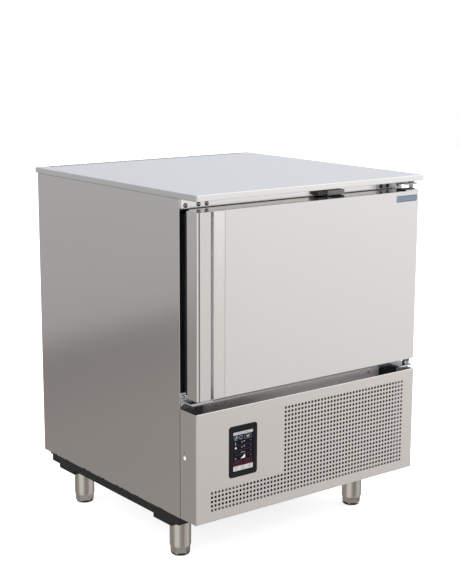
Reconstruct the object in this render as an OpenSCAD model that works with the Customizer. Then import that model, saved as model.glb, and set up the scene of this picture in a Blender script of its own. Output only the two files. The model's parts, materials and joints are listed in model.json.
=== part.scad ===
// Blast chiller for five trays: insulated chamber above, refrigeration
// compartment below, full-height door handle at the left, hinges at the right.
// Millimetres. +Z up, front towards -Y, origin on the floor under the middle.

/* [Cabinet] */
// Width over the two side panels
body_w = 790; // [780:1:800]
// Depth from the front frame to the outside of the rear panel
body_d = 728.5; // [700:0.5:760]
// Height of the worktop above the floor
top_z = 1025; // [1023:1:1035]
// Height of the worktop's folded edge
top_edge = 16.5; // [14:0.5:18]
// How far the worktop stands out past the side panels
top_over = 5; // [3:0.5:8]
// Thickness of the casing sheet
sheet = 1.0; // [0.8:0.1:1.2]

/* [Chamber] */
// Clear width of the chamber
chamber_w = 670; // [650:1:680]
// Height of the chamber floor above the ground
chamber_z0 = 512; // [510:1:520]
// Clear height of the chamber
chamber_h = 436; // [420:1:438]
// Clear depth of the chamber behind the front frame
chamber_d = 628; // [600:1:640]
// Number of tray levels
tray_levels = 5; // [3:1:5]
// Distance between tray levels
tray_pitch = 70; // [60:1:72]

/* [Door] */
// Height of the door's lower edge
door_z0 = 487; // [486:1:490]
// Height of the door
door_h = 493; // [480:1:493]
// Thickness of the steel pan of the door
door_t = 46; // [44:1:48]
// Width of the flat handle strip
grip_w = 42; // [36:1:44]
// Radial clearance of the hinge pins in their bushes
pin_gap = 0.05; // [0.02:0.01:0.1]

/* [Service panel] */
// Hole pitch of the perforated field
hole_pitch = 11.9; // [11.6:0.1:12]
// Hole diameter of the perforated field
hole_d = 7.3; // [4:0.1:8]
// Number of hole columns across the whole width
hole_cols = 59; // [40:1:59]
// Number of hole rows
hole_rows = 21; // [10:1:21]
// Number of the lowest rows that run across the whole width
low_rows = 5; // [3:1:6]
// First column of the tall field at the right
tall_from = 21; // [20:1:30]

/* [Feet] */
// Distance of the leg centres from the middle, left and right
leg_x = 321.4; // [300:0.1:330]
// Leg tube diameter
leg_d = 60; // [58:1:62]
// Height of the hexagonal part of an adjuster
hex_h = 22; // [21:0.5:24]

/* [Hidden] */

t = sheet;
bw = body_w / 2;              // half width over the side panels
fy = -325;                    // plane of the front frame
ry = fy + body_d - 1;         // rear end of the side panels
tw = bw + top_over;           // half width of the worktop
ty = 407.5;                   // half depth of the worktop
base_z = 150;                 // top of the base pan
mach_z = 452;                 // ceiling of the refrigeration compartment
lip_z = 461;                  // where the front frame's lower lip starts
box_z = 1007;                 // top of the insulated box
back_y = fy + 688;            // rear of the insulation
cw = chamber_w / 2;
cz0 = chamber_z0;
cz1 = chamber_z0 + chamber_h;
cy1 = fy + chamber_d;
liner_r = 8;                  // corner radius of the chamber
dz0 = door_z0;
dz1 = door_z0 + door_h;
df = fy - 73;                 // front plane of the door
dr = df + door_t;             // rear edge of the door's steel pan
dx = bw - 5;                  // half width of the door
pf = fy - 71;                 // front plane of the service panel
pz0 = 151.4;
pz1 = 454;
px = bw - 0.5;
hx = 380; hy = -377;          // door hinge axis
bush_r = 8.6;                 // seat of the hinge bushes in the door
leg_yf = -219.5; leg_yr = 291;
leg_r = leg_d / 2 - 1.5;      // bore of the leg tubes
fan_c = [140, 290];           // condenser fan centre, x and z
ev_c = [0, 730];              // evaporator fan centre, x and z
steel = [0.80, 0.79, 0.78];
dark = [0.12, 0.12, 0.13];
zinc = [0.76, 0.78, 0.80];

// box from corner a to corner b
module bx(a, b) { translate(a) cube(b - a); }
// cylinder along Y
module cyl_y(c, y0, y1, r, f = 48) { translate([c[0], y0, c[1]]) rotate([-90, 0, 0]) cylinder(h = y1 - y0, r = r, $fn = f); }
// cylinder along X
module cyl_x(c, x0, x1, r, f = 48) { translate([x0, c[0], c[1]]) rotate([0, 90, 0]) cylinder(h = x1 - x0, r = r, $fn = f); }
// rectangle with round corners, from corner a to corner b
module rr(a, b, r, f = 32) {
  translate([a[0] + r, a[1]]) square([b[0] - a[0] - 2 * r, b[1] - a[1]]);
  translate([a[0], a[1] + r]) square([b[0] - a[0], b[1] - a[1] - 2 * r]);
  for (x = [a[0] + r, b[0] - r], y = [a[1] + r, b[1] - r]) translate([x, y]) circle(r = r, $fn = f);
}
// slot with round ends, length l along y, width w
module slot(l, w) {
  square([w, l - w], center = true);
  for (s = [-1, 1]) translate([0, s * (l - w) / 2]) circle(d = w, $fn = 24);
}
// stands an x-z drawing up, from y0 back to y1
module wall_y(y0, y1) { translate([0, y1, 0]) rotate([90, 0, 0]) linear_extrude(y1 - y0) children(); }
// mirrors a left-hand piece to the right
module flip() { mirror([1, 0, 0]) children(); }

// ---------- worktop ----------
module worktop() {
  color([0.81, 0.82, 0.84]) {
    translate([0, 0, top_z - 1.5]) linear_extrude(1.5) difference() {
      square([2 * tw, 2 * ty], center = true);
      for (i = [-23:24]) translate([(i - 0.5) * 15, 388.5]) slot(25, 8);
    }
    for (s = [-1, 1]) {
      bx([s > 0 ? tw - 1.5 : -tw, -ty, top_z - top_edge], [s > 0 ? tw : -tw + 1.5, ty, top_z - 1.5]);
      bx([-tw + 1.5, s > 0 ? ty - 1.5 : -ty, top_z - top_edge], [tw - 1.5, s > 0 ? ty : -ty + 1.5, top_z - 1.5]);
    }
  }
}
module worktop_core() {
  color([0.75, 0.66, 0.5]) {
    bx([-tw + 2, -ty + 2, top_z - top_edge + 1.3], [tw - 2, back_y + 3, top_z - 1.5]);
    bx([-bw + 8, fy + 3, box_z], [bw - 8, back_y - 1, top_z - top_edge + 1.3]);
  }
}

// ---------- casing ----------
module side_panel() {
  color([0.62, 0.61, 0.60]) {
    bx([-bw, fy, base_z], [-bw + t, ry, box_z]);
    bx([-bw + t, fy, base_z], [-bw + 4, fy + t, box_z]);
    bx([-bw + t, ry - t, base_z], [-bw + 15, ry, box_z]);
    bx([-bw + t, fy + t, base_z], [-bw + 15, ry - t, base_z + t]);
  }
}
module side_panel_left() { side_panel(); }
module side_panel_right() { flip() side_panel(); }
module back_panel() {
  color([0.7, 0.7, 0.69]) wall_y(ry, ry + 1) difference() {
    translate([-bw + 1, base_z]) square([2 * bw - 2, box_z - base_z - 1]);
    for (i = [-8:8], j = [0, 1]) translate([i * 20 + 120, 235 + j * 110]) slot(90, 6);
    translate([-300, 210]) circle(r = 8.05, $fn = 32);
  }
}
module face_frame() {
  color(steel) {
    wall_y(fy, fy + t) difference() {
      translate([-bw + 4, lip_z]) square([2 * bw - 8, box_z - lip_z]);
      rr([-cw, cz0], [cw, cz1], liner_r);
    }
    // lower edge: flared between the brackets, straight beside them
    translate([-355, 0, 0]) rotate([90, 0, 90]) linear_extrude(673) polygon([[fy, lip_z], [fy + t, lip_z], [fy + t - 1.4, mach_z + t], [fy - 1.4, mach_z + t]]);
    bx([-bw + 4, fy, mach_z + t], [-356, fy + t, lip_z]);
    bx([319, fy, mach_z + t], [bw - 4, fy + t, lip_z]);
  }
}
module cabinet_insulation() {
  color([0.93, 0.88, 0.72]) difference() {
    bx([-bw + t, fy + t, mach_z + t], [bw - t, back_y, box_z]);
    wall_y(fy - 1, cy1 + t) rr([-cw - t, cz0 - t], [cw + t, cz1 + t], liner_r + 1);
    translate([-150, 60, mach_z]) cylinder(h = 80, r = 11.5, $fn = 32);
    for (p = [[250, 560], [225, 560]]) cyl_y(p, cy1, back_y + 1, 9, 32);
    cyl_y([-290, 700], cy1, back_y + 1, 9, 32);
  }
}
module inner_liner() {
  color([0.83, 0.83, 0.83]) difference() {
    wall_y(fy + t, cy1 + t) rr([-cw - t, cz0 - t], [cw + t, cz1 + t], liner_r + 1);
    wall_y(fy - 1, cy1) rr([-cw, cz0], [cw, cz1], liner_r);
    translate([-150, 60, cz0 - 5]) cylinder(h = 10, r = 8, $fn = 32);
    for (p = [[250, 560], [225, 560]]) cyl_y(p, cy1 - 5, cy1 + 5, 9, 32);
    cyl_y([-290, 700], cy1 - 5, cy1 + 5, 9, 32);
  }
}
module galvanised_casing() {
  color([0.6, 0.6, 0.6]) difference() {
    union() {
      bx([-bw + t, fy + t, mach_z], [bw - t, back_y + t, mach_z + t]);
      bx([-bw + 4, fy, 427], [bw - 4, fy + t, mach_z + t]);
      bx([-bw + t, back_y, mach_z + t], [bw - t, back_y + t, box_z]);
    }
    translate([-150, 60, mach_z - 5]) cylinder(h = 10, r = 11.5, $fn = 32);
    for (p = [[250, 560], [225, 560]]) cyl_y(p, back_y - 5, back_y + 5, 9, 32);
    cyl_y([-290, 700], back_y - 5, back_y + 5, 9, 32);
    cyl_y([-245.2, 442.7], fy - 1, fy + 3, 1.6, 24);
    cyl_y([245.2, 442.7], fy - 1, fy + 3, 1.6, 24);
  }
}
module base_pan() {
  color(dark) {
    difference() {
      bx([-bw + 5, fy + t, base_z - 1.5], [bw - 5, ry - t, base_z]);
      translate([-150, 20, base_z - 5]) cylinder(h = 10, r = 12, $fn = 32);
    }
    for (s = [-1, 1]) bx([s > 0 ? bw - 6.5 : -bw + 5, -308, 124], [s > 0 ? bw - 5 : -bw + 6.5, 363, base_z - 1.5]);
    bx([-bw + 6.5, -308, 124], [bw - 6.5, -306.5, base_z - 1.5]);
    bx([-bw + 6.5, 361.5, 124], [bw - 6.5, 363, base_z - 1.5]);
  }
}
// one open channel across the width, from y0 to y1, hanging under the base pan
module channel(y0, y1) {
  bx([-bw + 6.5, y0, 111], [bw - 6.5, y1, 112.5]);
  bx([-bw + 6.5, y0, 112.5], [bw - 6.5, y0 + 1.5, 124]);
  bx([-bw + 6.5, y1 - 1.5, 112.5], [bw - 6.5, y1, base_z - 1.5]);
  for (s = [-1, 1]) bx([s > 0 ? bw - 8 : -bw + 6.5, y0 + 1.5, 112.5], [s > 0 ? bw - 6.5 : -bw + 8, y1 - 1.5, 124]);
}
module cross_members() {
  color([0.10, 0.10, 0.11]) { channel(-272, -186); channel(238, 324); }
}

// ---------- legs and feet ----------
// tube with a bevelled lower rim, welded top plate and threaded sleeve
module leg_tube() {
  rotate_extrude($fn = 64) {
    polygon([[leg_r, 25], [leg_r + 0.5, 25], [leg_d / 2, 30], [leg_d / 2, 111], [8.05, 111], [8.05, 62], [13, 62], [13, 105], [leg_r, 105]]);
  }
}
module leg_tubes() {
  color([0.62, 0.60, 0.57]) for (x = [-leg_x, leg_x], y = [leg_yf, leg_yr]) translate([x, y, 0]) leg_tube();
}
// hexagonal adjuster with guide ring and threaded stem
module adjuster(x, y) {
  color([0.68, 0.68, 0.67]) translate([x, y, 0]) {
    translate([0, 0, 5]) cylinder(h = hex_h, d = (2 * leg_r - 1.6), $fn = 6);
    rotate_extrude($fn = 64) polygon([[0, 5 + hex_h], [leg_r - 0.05, 5 + hex_h], [leg_r - 0.05, 75], [16, 75], [16, 33], [8, 33], [8, 100], [0, 100]]);
  }
}
module adjuster_front_left() { adjuster(-leg_x, leg_yf); }
module adjuster_front_right() { adjuster(leg_x, leg_yf); }
module adjuster_rear_left() { adjuster(-leg_x, leg_yr); }
module adjuster_rear_right() { adjuster(leg_x, leg_yr); }
module foot_pad(x, y) {
  color([0.18, 0.2, 0.22]) translate([x, y, 0]) rotate_extrude($fn = 64) polygon([[0, 0], [23, 0], [24.5, 1.5], [24.5, 4], [23.5, 5], [0, 5]]);
}
module foot_pad_front_left() { foot_pad(-leg_x, leg_yf); }
module foot_pad_front_right() { foot_pad(leg_x, leg_yf); }
module foot_pad_rear_left() { foot_pad(-leg_x, leg_yr); }
module foot_pad_rear_right() { foot_pad(leg_x, leg_yr); }

// ---------- service panel and display ----------
module service_panel() {
  color([0.76, 0.74, 0.71]) {
    wall_y(pf, pf + 1.2) difference() {
      translate([-px, pz0]) square([2 * px, pz1 - pz0]);
      for (i = [0:hole_cols - 1], j = [0:hole_rows - 1])
        if (i >= tall_from || j >= hole_rows - low_rows)
          translate([-342.9 + i * hole_pitch, 421 - j * hole_pitch]) circle(d = hole_d, $fn = 24);
      translate([-280, 266]) square([80, 128]);
    }
    bx([-px + 1.2, pf + 1.2, pz1 - 4], [px - 1.2, pf + 2.4, pz1]);
    bx([-px + 1.2, pf + 1.2, pz0], [px - 1.2, fy - 1.2, pz0 + 1.2]);
    difference() {
      bx([-px, pf + 1.2, pz0], [-px + 1.2, fy, pz1]);
      cyl_x([-345.6, 324.7], -px - 1, -px + 3, 4.5, 32);
      cyl_x([-345, 339.7], -px - 1, -px + 3, 2, 24);
    }
    bx([px - 1.2, pf + 1.2, pz0], [px, fy, pz1]);
    for (s = [-1, 1]) bx([s > 0 ? 322 : -px + 1.2, fy - 1.2, 427], [s > 0 ? px - 1.2 : -322, fy, 452]);
  }
}
module panel_side_plug() {
  color([0.92, 0.93, 0.94]) {
    cyl_x([-345.6, 324.7], -px - 0.5, -px, 5.2, 32);
    cyl_x([-345.6, 324.7], -px, -px + 4, 4.5, 32);
  }
}
module display_bezel() {
  color([0.12, 0.13, 0.14]) {
    wall_y(pf - 1.8, pf) difference() {
      rr([-287, 259], [-193, 401], 8);
      translate([-273.5, 275.5]) square([67, 108]);
    }
    wall_y(pf, pf + 6) difference() {
      translate([-279.5, 266.5]) square([79, 127]);
      translate([-275.5, 273.5]) square([71, 112]);
    }
  }
}
module display_glass() {
  color([0.07, 0.06, 0.1]) wall_y(pf, pf + 2) translate([-275.5, 273.5]) square([71, 112]);
}
module display_housing() {
  color([0.2, 0.2, 0.2]) {
    bx([-279.5, pf + 6, 266.5], [-200.5, pf + 34, 393.5]);
    bx([-260, pf + 34, 290], [-220, pf + 44, 330]);
  }
}
module electrical_box() {
  color([0.55, 0.56, 0.57]) {
    difference() {
      bx([-374, -290, 175], [-160, -130, 345]);
      bx([-372.8, -288.8, 176.2], [-161.2, -131.2, 346]);
      for (x = [-330, -300, -270]) translate([x, -210, 170]) cylinder(h = 10, r = 8, $fn = 24);
    }
    bx([-374, -290, 345], [-160, -130, 346.2]);
    for (y = [-270, -160]) bx([-374, y, base_z], [-360, y + 12, 175]);
    for (y = [-270, -160]) bx([-180, y, base_z], [-166, y + 12, 175]);
  }
}

// ---------- refrigeration set ----------
module compressor() {
  color([0.13, 0.13, 0.14]) translate([205, 130, 0]) {
    rotate_extrude($fn = 64) polygon([[0, 176], [60, 176], [76, 188], [82, 200], [82, 262], [84, 262], [84, 272], [82, 272], [82, 318], [76, 336], [60, 350], [36, 357], [0, 358]]);
    bx([-95, -80, 172], [95, 80, 176]);
    translate([-40, 0, 350]) cylinder(h = 12, r = 10, $fn = 32);
    bx([-110, -28, 225], [-82.5, 28, 290]);
  }
}
module compressor_mounts() {
  color([0.15, 0.15, 0.15]) for (x = [-80, 80], y = [-65, 65]) translate([205 + x, 130 + y, base_z]) rotate_extrude($fn = 32)
    polygon([[0, 0], [14, 0], [14, 8], [10, 11], [14, 14], [14, 22], [0, 22]]);
}
module condenser_coil() {
  color([0.66, 0.62, 0.55]) {
    // fins between a top and a bottom channel
    for (i = [0:52]) bx([-80 + i * 8, -300, 160], [-79.2 + i * 8, -244, 424]);
    for (z = [159, 424]) bx([-80, -302, z], [345, -242, z + 1]);
    for (s = [-1, 1]) bx([s > 0 ? 345 : -82, -304, 154], [s > 0 ? 347 : -80, -240, 430]);
    // return bends at the left end, two tube rows
    for (y = [-286, -258], k = [0:4]) translate([-82, y, 192 + k * 50]) rotate([0, -90, 90]) rotate_extrude(angle = 180, $fn = 24) translate([12.5, 0]) circle(r = 4, $fn = 16);
    for (z = [192 - 12.5]) cyl_x([-258, z], 347, 372, 4, 16);
    cyl_x([-286, 404.5], 347, 372, 4, 16);
  }
}
module condenser_shroud() {
  color([0.5, 0.5, 0.5]) {
    difference() {
      bx([-82, -240, 154], [347, -196, 430]);
      bx([-80.8, -241, 155.2], [345.8, -197.2, 428.8]);
      cyl_y(fan_c, -200, -190, 112, 64);
    }
    translate([fan_c[0], -196, fan_c[1]]) rotate([-90, 0, 0]) rotate_extrude($fn = 64) polygon([[112, 0], [113.5, 0], [113.5, 22], [112, 22]]);
  }
}
// axial fan with pitched blades; tip radius ro, hub radius rh, centre c, from y0 over depth d
module fan(c, y0, d, ro, rh, n, pitch) {
  cyl_y(c, y0, y0 + d, rh, 40);
  for (i = [0:n - 1]) translate([c[0], y0 + d / 2, c[1]]) rotate([0, i * 360 / n, 0]) translate([rh - 3, 0, 0]) rotate([pitch, 0, 0])
    translate([0, -0.9, -ro * 0.21]) cube([ro * 0.965 - rh, 1.8, ro * 0.42]);
}
module condenser_fan() {
  color([0.75, 0.75, 0.76]) difference() {
    fan(fan_c, -192, 24, 108, 34, 5, 28);
    cyl_y(fan_c, -180, -160, 4.05, 32);
  }
}
module condenser_fan_motor() {
  color([0.2, 0.2, 0.2]) {
    cyl_y(fan_c, -160, -104, 40);
    cyl_y(fan_c, -179, -160, 4, 32);
    // four arms to the shroud
    for (a = [45, 135, 225, 315]) translate([fan_c[0], -152, fan_c[1]]) rotate([0, a, 0]) translate([38, 0, -4]) cube([84, 3, 8]);
    for (a = [45, 135, 225, 315]) translate([fan_c[0], -196, fan_c[1]]) rotate([0, a, 0]) translate([118, 0, -4]) cube([4, 44, 8]);
  }
}
module filter_drier() {
  color([0.72, 0.45, 0.25]) {
    translate([-60, 130, 220]) rotate([0, 90, 0]) rotate_extrude($fn = 40) polygon([[0, 0], [5, 0], [5, 10], [22, 22], [22, 98], [5, 110], [5, 120], [0, 120]]);
  }
}
module liquid_receiver() {
  color([0.14, 0.14, 0.15]) {
    translate([-170, 130, 0]) rotate_extrude($fn = 56) polygon([[0, 156], [30, 158], [48, 172], [52, 186], [52, 330], [48, 346], [30, 358], [0, 360],
      [0, 357], [29, 355], [45.5, 344], [49, 329], [49, 187], [45.5, 174], [29, 161], [0, 159]]);
    for (s = [-1, 1]) bx([-170 + s * 60 - 14, 115, base_z], [-170 + s * 60 + 14, 145, base_z + 3]);
    for (s = [-1, 1]) bx([s > 0 ? -121 : -221, 115, base_z + 3], [s > 0 ? -118 : -218, 145, 210]);
  }
}
// pipe along a list of right-angled points, round elbows
module pipe(p, r) {
  for (i = [0:len(p) - 2]) {
    v = p[i + 1] - p[i];
    l = norm(v);
    translate(p[i]) rotate([0, acos(v[2] / l), atan2(v[1], v[0])]) cylinder(h = l, r = r, $fn = 20);
  }
  for (i = [1:len(p) - 2]) translate(p[i]) sphere(r = r, $fn = 20);
}
module refrigerant_pipes() {
  color([0.75, 0.45, 0.3]) {
    // hot gas from the compressor to the coil
    pipe([[165, 130, 362], [165, 130, 385], [372, 130, 385], [372, -258, 385], [372, -258, 200], [372, -258, 183.5]], 4);
    // liquid from the coil to the receiver
    pipe([[372, -286, 408.5], [372, -286, 440], [-170, -286, 440], [-170, 130, 440], [-170, 130, 360]], 4);
    // receiver to drier
    pipe([[-118, 130, 220], [-60, 130, 220]], 4);
    // liquid line from the drier up behind the insulation and into the chamber
    pipe([[60, 130, 220], [75, 130, 220], [75, 382, 220], [225, 382, 220], [225, 382, 560], [225, 290, 560]], 4);
    // suction line back to the compressor
    pipe([[250, 290, 560], [250, 390, 560], [250, 390, 300], [250, 203, 300]], 7);
  }
}
module drain_pipe() {
  color([0.85, 0.85, 0.85]) difference() {
    union() {
      translate([-150, 60, 420]) cylinder(h = cz0 - t - 420, r = 11, $fn = 32);
      translate([-150, 60, 420]) sphere(r = 11, $fn = 32);
      translate([-150, 20, 420]) rotate([-90, 0, 0]) cylinder(h = 40, r = 11, $fn = 32);
      translate([-150, 20, 420]) sphere(r = 11, $fn = 32);
      translate([-150, 20, 118]) cylinder(h = 302, r = 11, $fn = 32);
      // stop collar for the hose, below the base pan
      translate([-150, 20, 143]) cylinder(h = 4, r = 15, $fn = 32);
    }
    translate([-150, 60, 420]) cylinder(h = 200, r = 8, $fn = 32);
    translate([-150, 20, 420]) rotate([-90, 0, 0]) cylinder(h = 40, r = 8, $fn = 32);
    translate([-150, 20, 110]) cylinder(h = 310, r = 8, $fn = 32);
  }
}
// cable gland along Y: lock nut, body and bored centre
module gland(c, y0) {
  difference() {
    union() {
      translate([c[0], y0, c[1]]) rotate([-90, 0, 0]) cylinder(h = 3.6, r = 13, $fn = 6);
      cyl_y(c, y0 - 22, y0, 8, 32);
      translate([c[0], y0 - 5, c[1]]) rotate([-90, 0, 0]) cylinder(h = 4, r = 13, $fn = 6);
    }
    cyl_y(c, y0 - 23, y0 + 5, 4.5, 32);
  }
}
module cable_glands() {
  color([0.16, 0.16, 0.17]) {
    gland([-300, 210], ry + 1);
    translate([0, 2 * (cy1 - 5), 0]) mirror([0, 1, 0]) gland([-290, 700], cy1 - 5);
  }
}

// ---------- inside the chamber ----------
module evaporator_coil() {
  color([0.74, 0.75, 0.76]) {
    // fins between a top and a bottom channel
    for (i = [0:44]) bx([-266 + i * 12, 225, 540], [-265 + i * 12, 290, 926]);
    for (z = [539, 926]) bx([-270, 224, z], [270, 290, z + 1]);
    for (s = [-1, 1]) bx([s > 0 ? 270 : -272, 220, 532], [s > 0 ? 272 : -270, cy1, 934]);
    for (y = [242, 273], k = [0:6]) translate([-272, y, 576 + k * 52]) rotate([0, -90, 90]) rotate_extrude(angle = 180, $fn = 24) translate([13, 0]) circle(r = 4, $fn = 16);
  }
}
module fan_baffle() {
  color([0.82, 0.82, 0.82]) {
    wall_y(130, 131.2) difference() {
      translate([-300, cz0 + 4]) square([600, chamber_h - 8]);
      translate(ev_c) circle(r = 152, $fn = 64);
    }
    for (s = [-1, 1]) bx([s > 0 ? 298.8 : -300, 131.2, cz0 + 4], [s > 0 ? 300 : -298.8, 220, cz1 - 4]);
    for (s = [-1, 1]) bx([s > 0 ? 272 : -298.8, 218.8, cz0 + 20], [s > 0 ? 298.8 : -272, 220, cz1 - 14]);
    // feet and top tabs that screw to the liner
    for (x = [-250, 235]) {
      bx([x, 131.2, cz0], [x + 15, 146, cz0 + 1.2]);
      bx([x, 130, cz0], [x + 15, 131.2, cz0 + 4]);
      bx([x, 131.2, cz1 - 1.2], [x + 15, 146, cz1]);
      bx([x, 130, cz1 - 4], [x + 15, 131.2, cz1]);
    }
  }
}
module evaporator_fan() {
  color([0.8, 0.8, 0.8]) difference() {
    fan(ev_c, 118, 30, 148, 40, 5, 26);
    cyl_y(ev_c, 136, 150, 4.05, 32);
  }
}
module evaporator_fan_motor() {
  color([0.25, 0.25, 0.26]) {
    cyl_y(ev_c, 156, 208, 42);
    cyl_y(ev_c, 137, 156, 4, 32);
    for (a = [45, 135, 225, 315]) translate([ev_c[0], 160, ev_c[1]]) rotate([0, a, 0]) translate([40, 0, -5]) cube([122, 3, 10]);
    for (a = [45, 135, 225, 315]) translate([ev_c[0], 131.2, ev_c[1]]) rotate([0, a, 0]) translate([158, 0, -5]) cube([4, 28.8, 10]);
  }
}
module runners() {
  color([0.82, 0.82, 0.82]) {
    for (y = [-280, 60]) bx([-cw, y, cz0 + 30], [-cw + 3.95, y + 22, cz0 + 40 + tray_levels * tray_pitch]);
    for (k = [0:tray_levels - 1]) {
      z = cz0 + 40 + k * tray_pitch;
      bx([-cw + 4, -305, z - 0.4], [-cw + 34, 95, z + 1.5]);
      bx([-cw + 4, 93.5, z + 1.55], [-cw + 34, 95, z + 14]);
    }
  }
}
module tray_runners_left() { runners(); }
module tray_runners_right() { flip() runners(); }

// ---------- door hardware on the cabinet ----------
module top_hinge_plate() {
  color(zinc) {
    bx([296, fy - 3, 981], [391, fy, 1006]);
    difference() {
      translate([0, 0, 997]) linear_extrude(4) {
        translate([346, hy]) square([46, fy - 3 - hy]);
        translate([364, -393]) square([12, 20]);
        rr([346, -393], [392, -360], 8);
      }
      translate([hx, hy, 990]) cylinder(h = 20, r = 6.03, $fn = 40);
    }
  }
}
module bottom_hinge_bracket() {
  color(zinc) {
    bx([322, fy - 3 - 1.2, 454.5], [391, fy, 486]);
    difference() {
      translate([0, 0, 463]) linear_extrude(4) {
        translate([340, hy]) square([52, fy - 4.2 - hy]);
        rr([340, -393], [392, -360], 8);
      }
      translate([hx, hy, 455]) cylinder(h = 20, r = 6.03, $fn = 40);
    }
    // lower cam ring round the pin
    translate([hx, hy, 0]) rotate_extrude($fn = 40) polygon([[6.03, 467], [10.5, 467], [10.5, 476.7], [6.03, 476.7]]);
  }
}
module hinge_pins() {
  color([0.82, 0.83, 0.84]) translate([hx, hy, 0]) {
    rotate_extrude($fn = 40) polygon([[0, 955], [5, 955], [6, 956], [6, 1001], [9, 1001], [9, 1004], [0, 1004]]);
    rotate_extrude($fn = 40) polygon([[0, 460], [9, 460], [9, 463], [6, 463], [6, 511], [5, 512], [0, 512]]);
  }
}
module spare_hinge_plate() {
  color([0.86, 0.85, 0.84]) bx([-391, fy - 3, 981], [-363.5, fy, 1006]);
}
module door_rest_bracket() {
  color(zinc) {
    bx([-391, fy - 3, 461], [-362, fy, 492]);
    bx([-391, -370, 472], [-321, fy - 3, 476]);
  }
}
module door_rest_pad() {
  color(dark) translate([-326.5, -364, 0]) rotate_extrude($fn = 32) polygon([[0, 476], [5, 476], [5, 483], [3.5, 486.6], [0, 486.6]]);
}
module door_switch() {
  color([0.66, 0.68, 0.71]) {
    bx([88, -350, 981.6], [148, fy, 995.5]);
    bx([56, -344, 983], [88, fy, 994]);
  }
}
// head of a pan-head screw, standing out towards -Y from plane y
module screw(x, y, z, r = 4.6) {
  translate([x, y, z]) rotate([90, 0, 0]) rotate_extrude($fn = 32) polygon([[0, 0], [r, 0], [r, 1.3], [r - 1.6, 2.6], [0, 2.8]]);
}
module casing_screws() {
  color([0.45, 0.47, 0.5]) {
    for (x = [-377, 377, 334, 308]) screw(x, fy - 3, 990, 6.4);
    for (x = [-334, -308]) screw(x, fy, 990, 6.4);
    for (z = [467, 485.4]) screw(-385.6, fy - 3, z);
    for (x = [352, 336]) screw(x, fy - 4.2, 476);
    for (x = [-345, 345]) screw(x, fy - 1.2, 446.5);
    for (x = [-277.7, 277.7]) screw(x, fy, 445.6);
    // rear panel
    for (x = [-386, -130, 130, 386], z = [165, 995]) mirror([0, 1, 0]) screw(x, -ry - 1, z);
    for (x = [-386, 386], z = [430, 720]) mirror([0, 1, 0]) screw(x, -ry - 1, z);
  }
}

// ---------- door ----------
lip_x = -dx + grip_w;
// outline of the door pan in plan, o is how far it lies inside the outer face
module pan2d(o) {
  k = o > 0 ? 1 : 0;
  polygon([[dx - o, dr], [dx - o, df + o], [-303 + 0.4 * k, df + o], [-325 + o, -378 + 0.44 * k],
    [-325 + o, -357 + o], [-dx + 1.2, -357 + o], [-dx + 1.2, dr]]);
}
// inward flange round the rear of the door pan
module pan_flange() {
  wall_y(dr - 1, dr) difference() {
    translate([-dx + 1.2, dz0 + 1]) square([2 * dx - 2.2, door_h - 2]);
    translate([-376, dz0 + 12]) square([752, door_h - 24]);
  }
}
module door_skin() {
  color([0.86, 0.85, 0.84]) difference() {
    union() {
      difference() {
        translate([0, 0, dz0]) linear_extrude(door_h) pan2d(0);
        translate([0, 0, dz0 + 1]) linear_extrude(door_h - 2) pan2d(1);
      }
      pan_flange();
      // top return reaching back over the inner frame
      bx([-dx + 4, dr, dz1 - 1], [dx - 2, fy - 8, dz1]);
    }
    for (z = [dz0 - 5, dz1 - 5]) translate([hx, hy, z]) cylinder(h = 10, r = bush_r, $fn = 40);
  }
}
module door_handle() {
  color([0.72, 0.70, 0.68]) {
    // side wall, rounded corner, front strip and inward lip, one folded sheet
    translate([0, 0, dz0]) linear_extrude(door_h) {
      difference() {
        union() {
          translate([-dx, df + 6]) square([6, dr - df - 6 + 0.5]);
          translate([-dx + 6, df]) square([grip_w - 6, 12]);
          translate([-dx + 6, df + 6]) circle(r = 6, $fn = 48);
        }
        translate([-dx + 1.2, df + 6]) square([10, dr - df]);
        translate([-dx + 6, df + 1.2]) square([grip_w - 7.2, 20]);
        translate([-dx + 6, df + 6]) circle(r = 4.8, $fn = 48);
      }
    }
    // caps that close the recess at both ends
    for (z = [dz0, dz1 - 1.2]) translate([0, 0, z]) linear_extrude(1.2)
      polygon([[-dx + 1.25, df + 6], [-dx + 6, df + 1.25], [lip_x - 1.25, df + 1.25], [lip_x - 1.25, df + 12.05], [lip_x + 0.05, df + 12.05], [lip_x + 0.05, df], [-303, df], [-325, -378], [-325, -357], [-dx + 1.25, -357]]);
  }
}
module door_foam() {
  color([0.93, 0.88, 0.72]) difference() {
    union() {
      translate([0, 0, dz0 + 1]) linear_extrude(door_h - 2) pan2d(1);
      bx([-376, dr - 0.5, dz0 + 12], [376, dr + 0.5, dz1 - 12]);
      bx([-384, dr, 492], [384, -340, 975]);
    }
    pan_flange();
    translate([hx, hy, dz0]) cylinder(h = 27, r = bush_r, $fn = 40);
    translate([hx, hy, dz1 - 27]) cylinder(h = 27, r = bush_r, $fn = 40);
  }
}
module door_liner() {
  color([0.10, 0.10, 0.11]) difference() {
    bx([-386, dr, 490], [386, -338, 977]);
    bx([-384, dr - 1, 492], [384, -340, 975]);
  }
}
module door_inner_panel() {
  color([0.83, 0.83, 0.82]) wall_y(-338, -336.8) rr([-352, 512], [352, 952], 4);
}
module door_gasket() {
  color([0.07, 0.07, 0.08]) wall_y(-338, fy - 0.02) difference() {
    rr([-372, 492], [372, 972], 6);
    rr([-354, 510], [354, 954], 3);
  }
}
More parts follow.
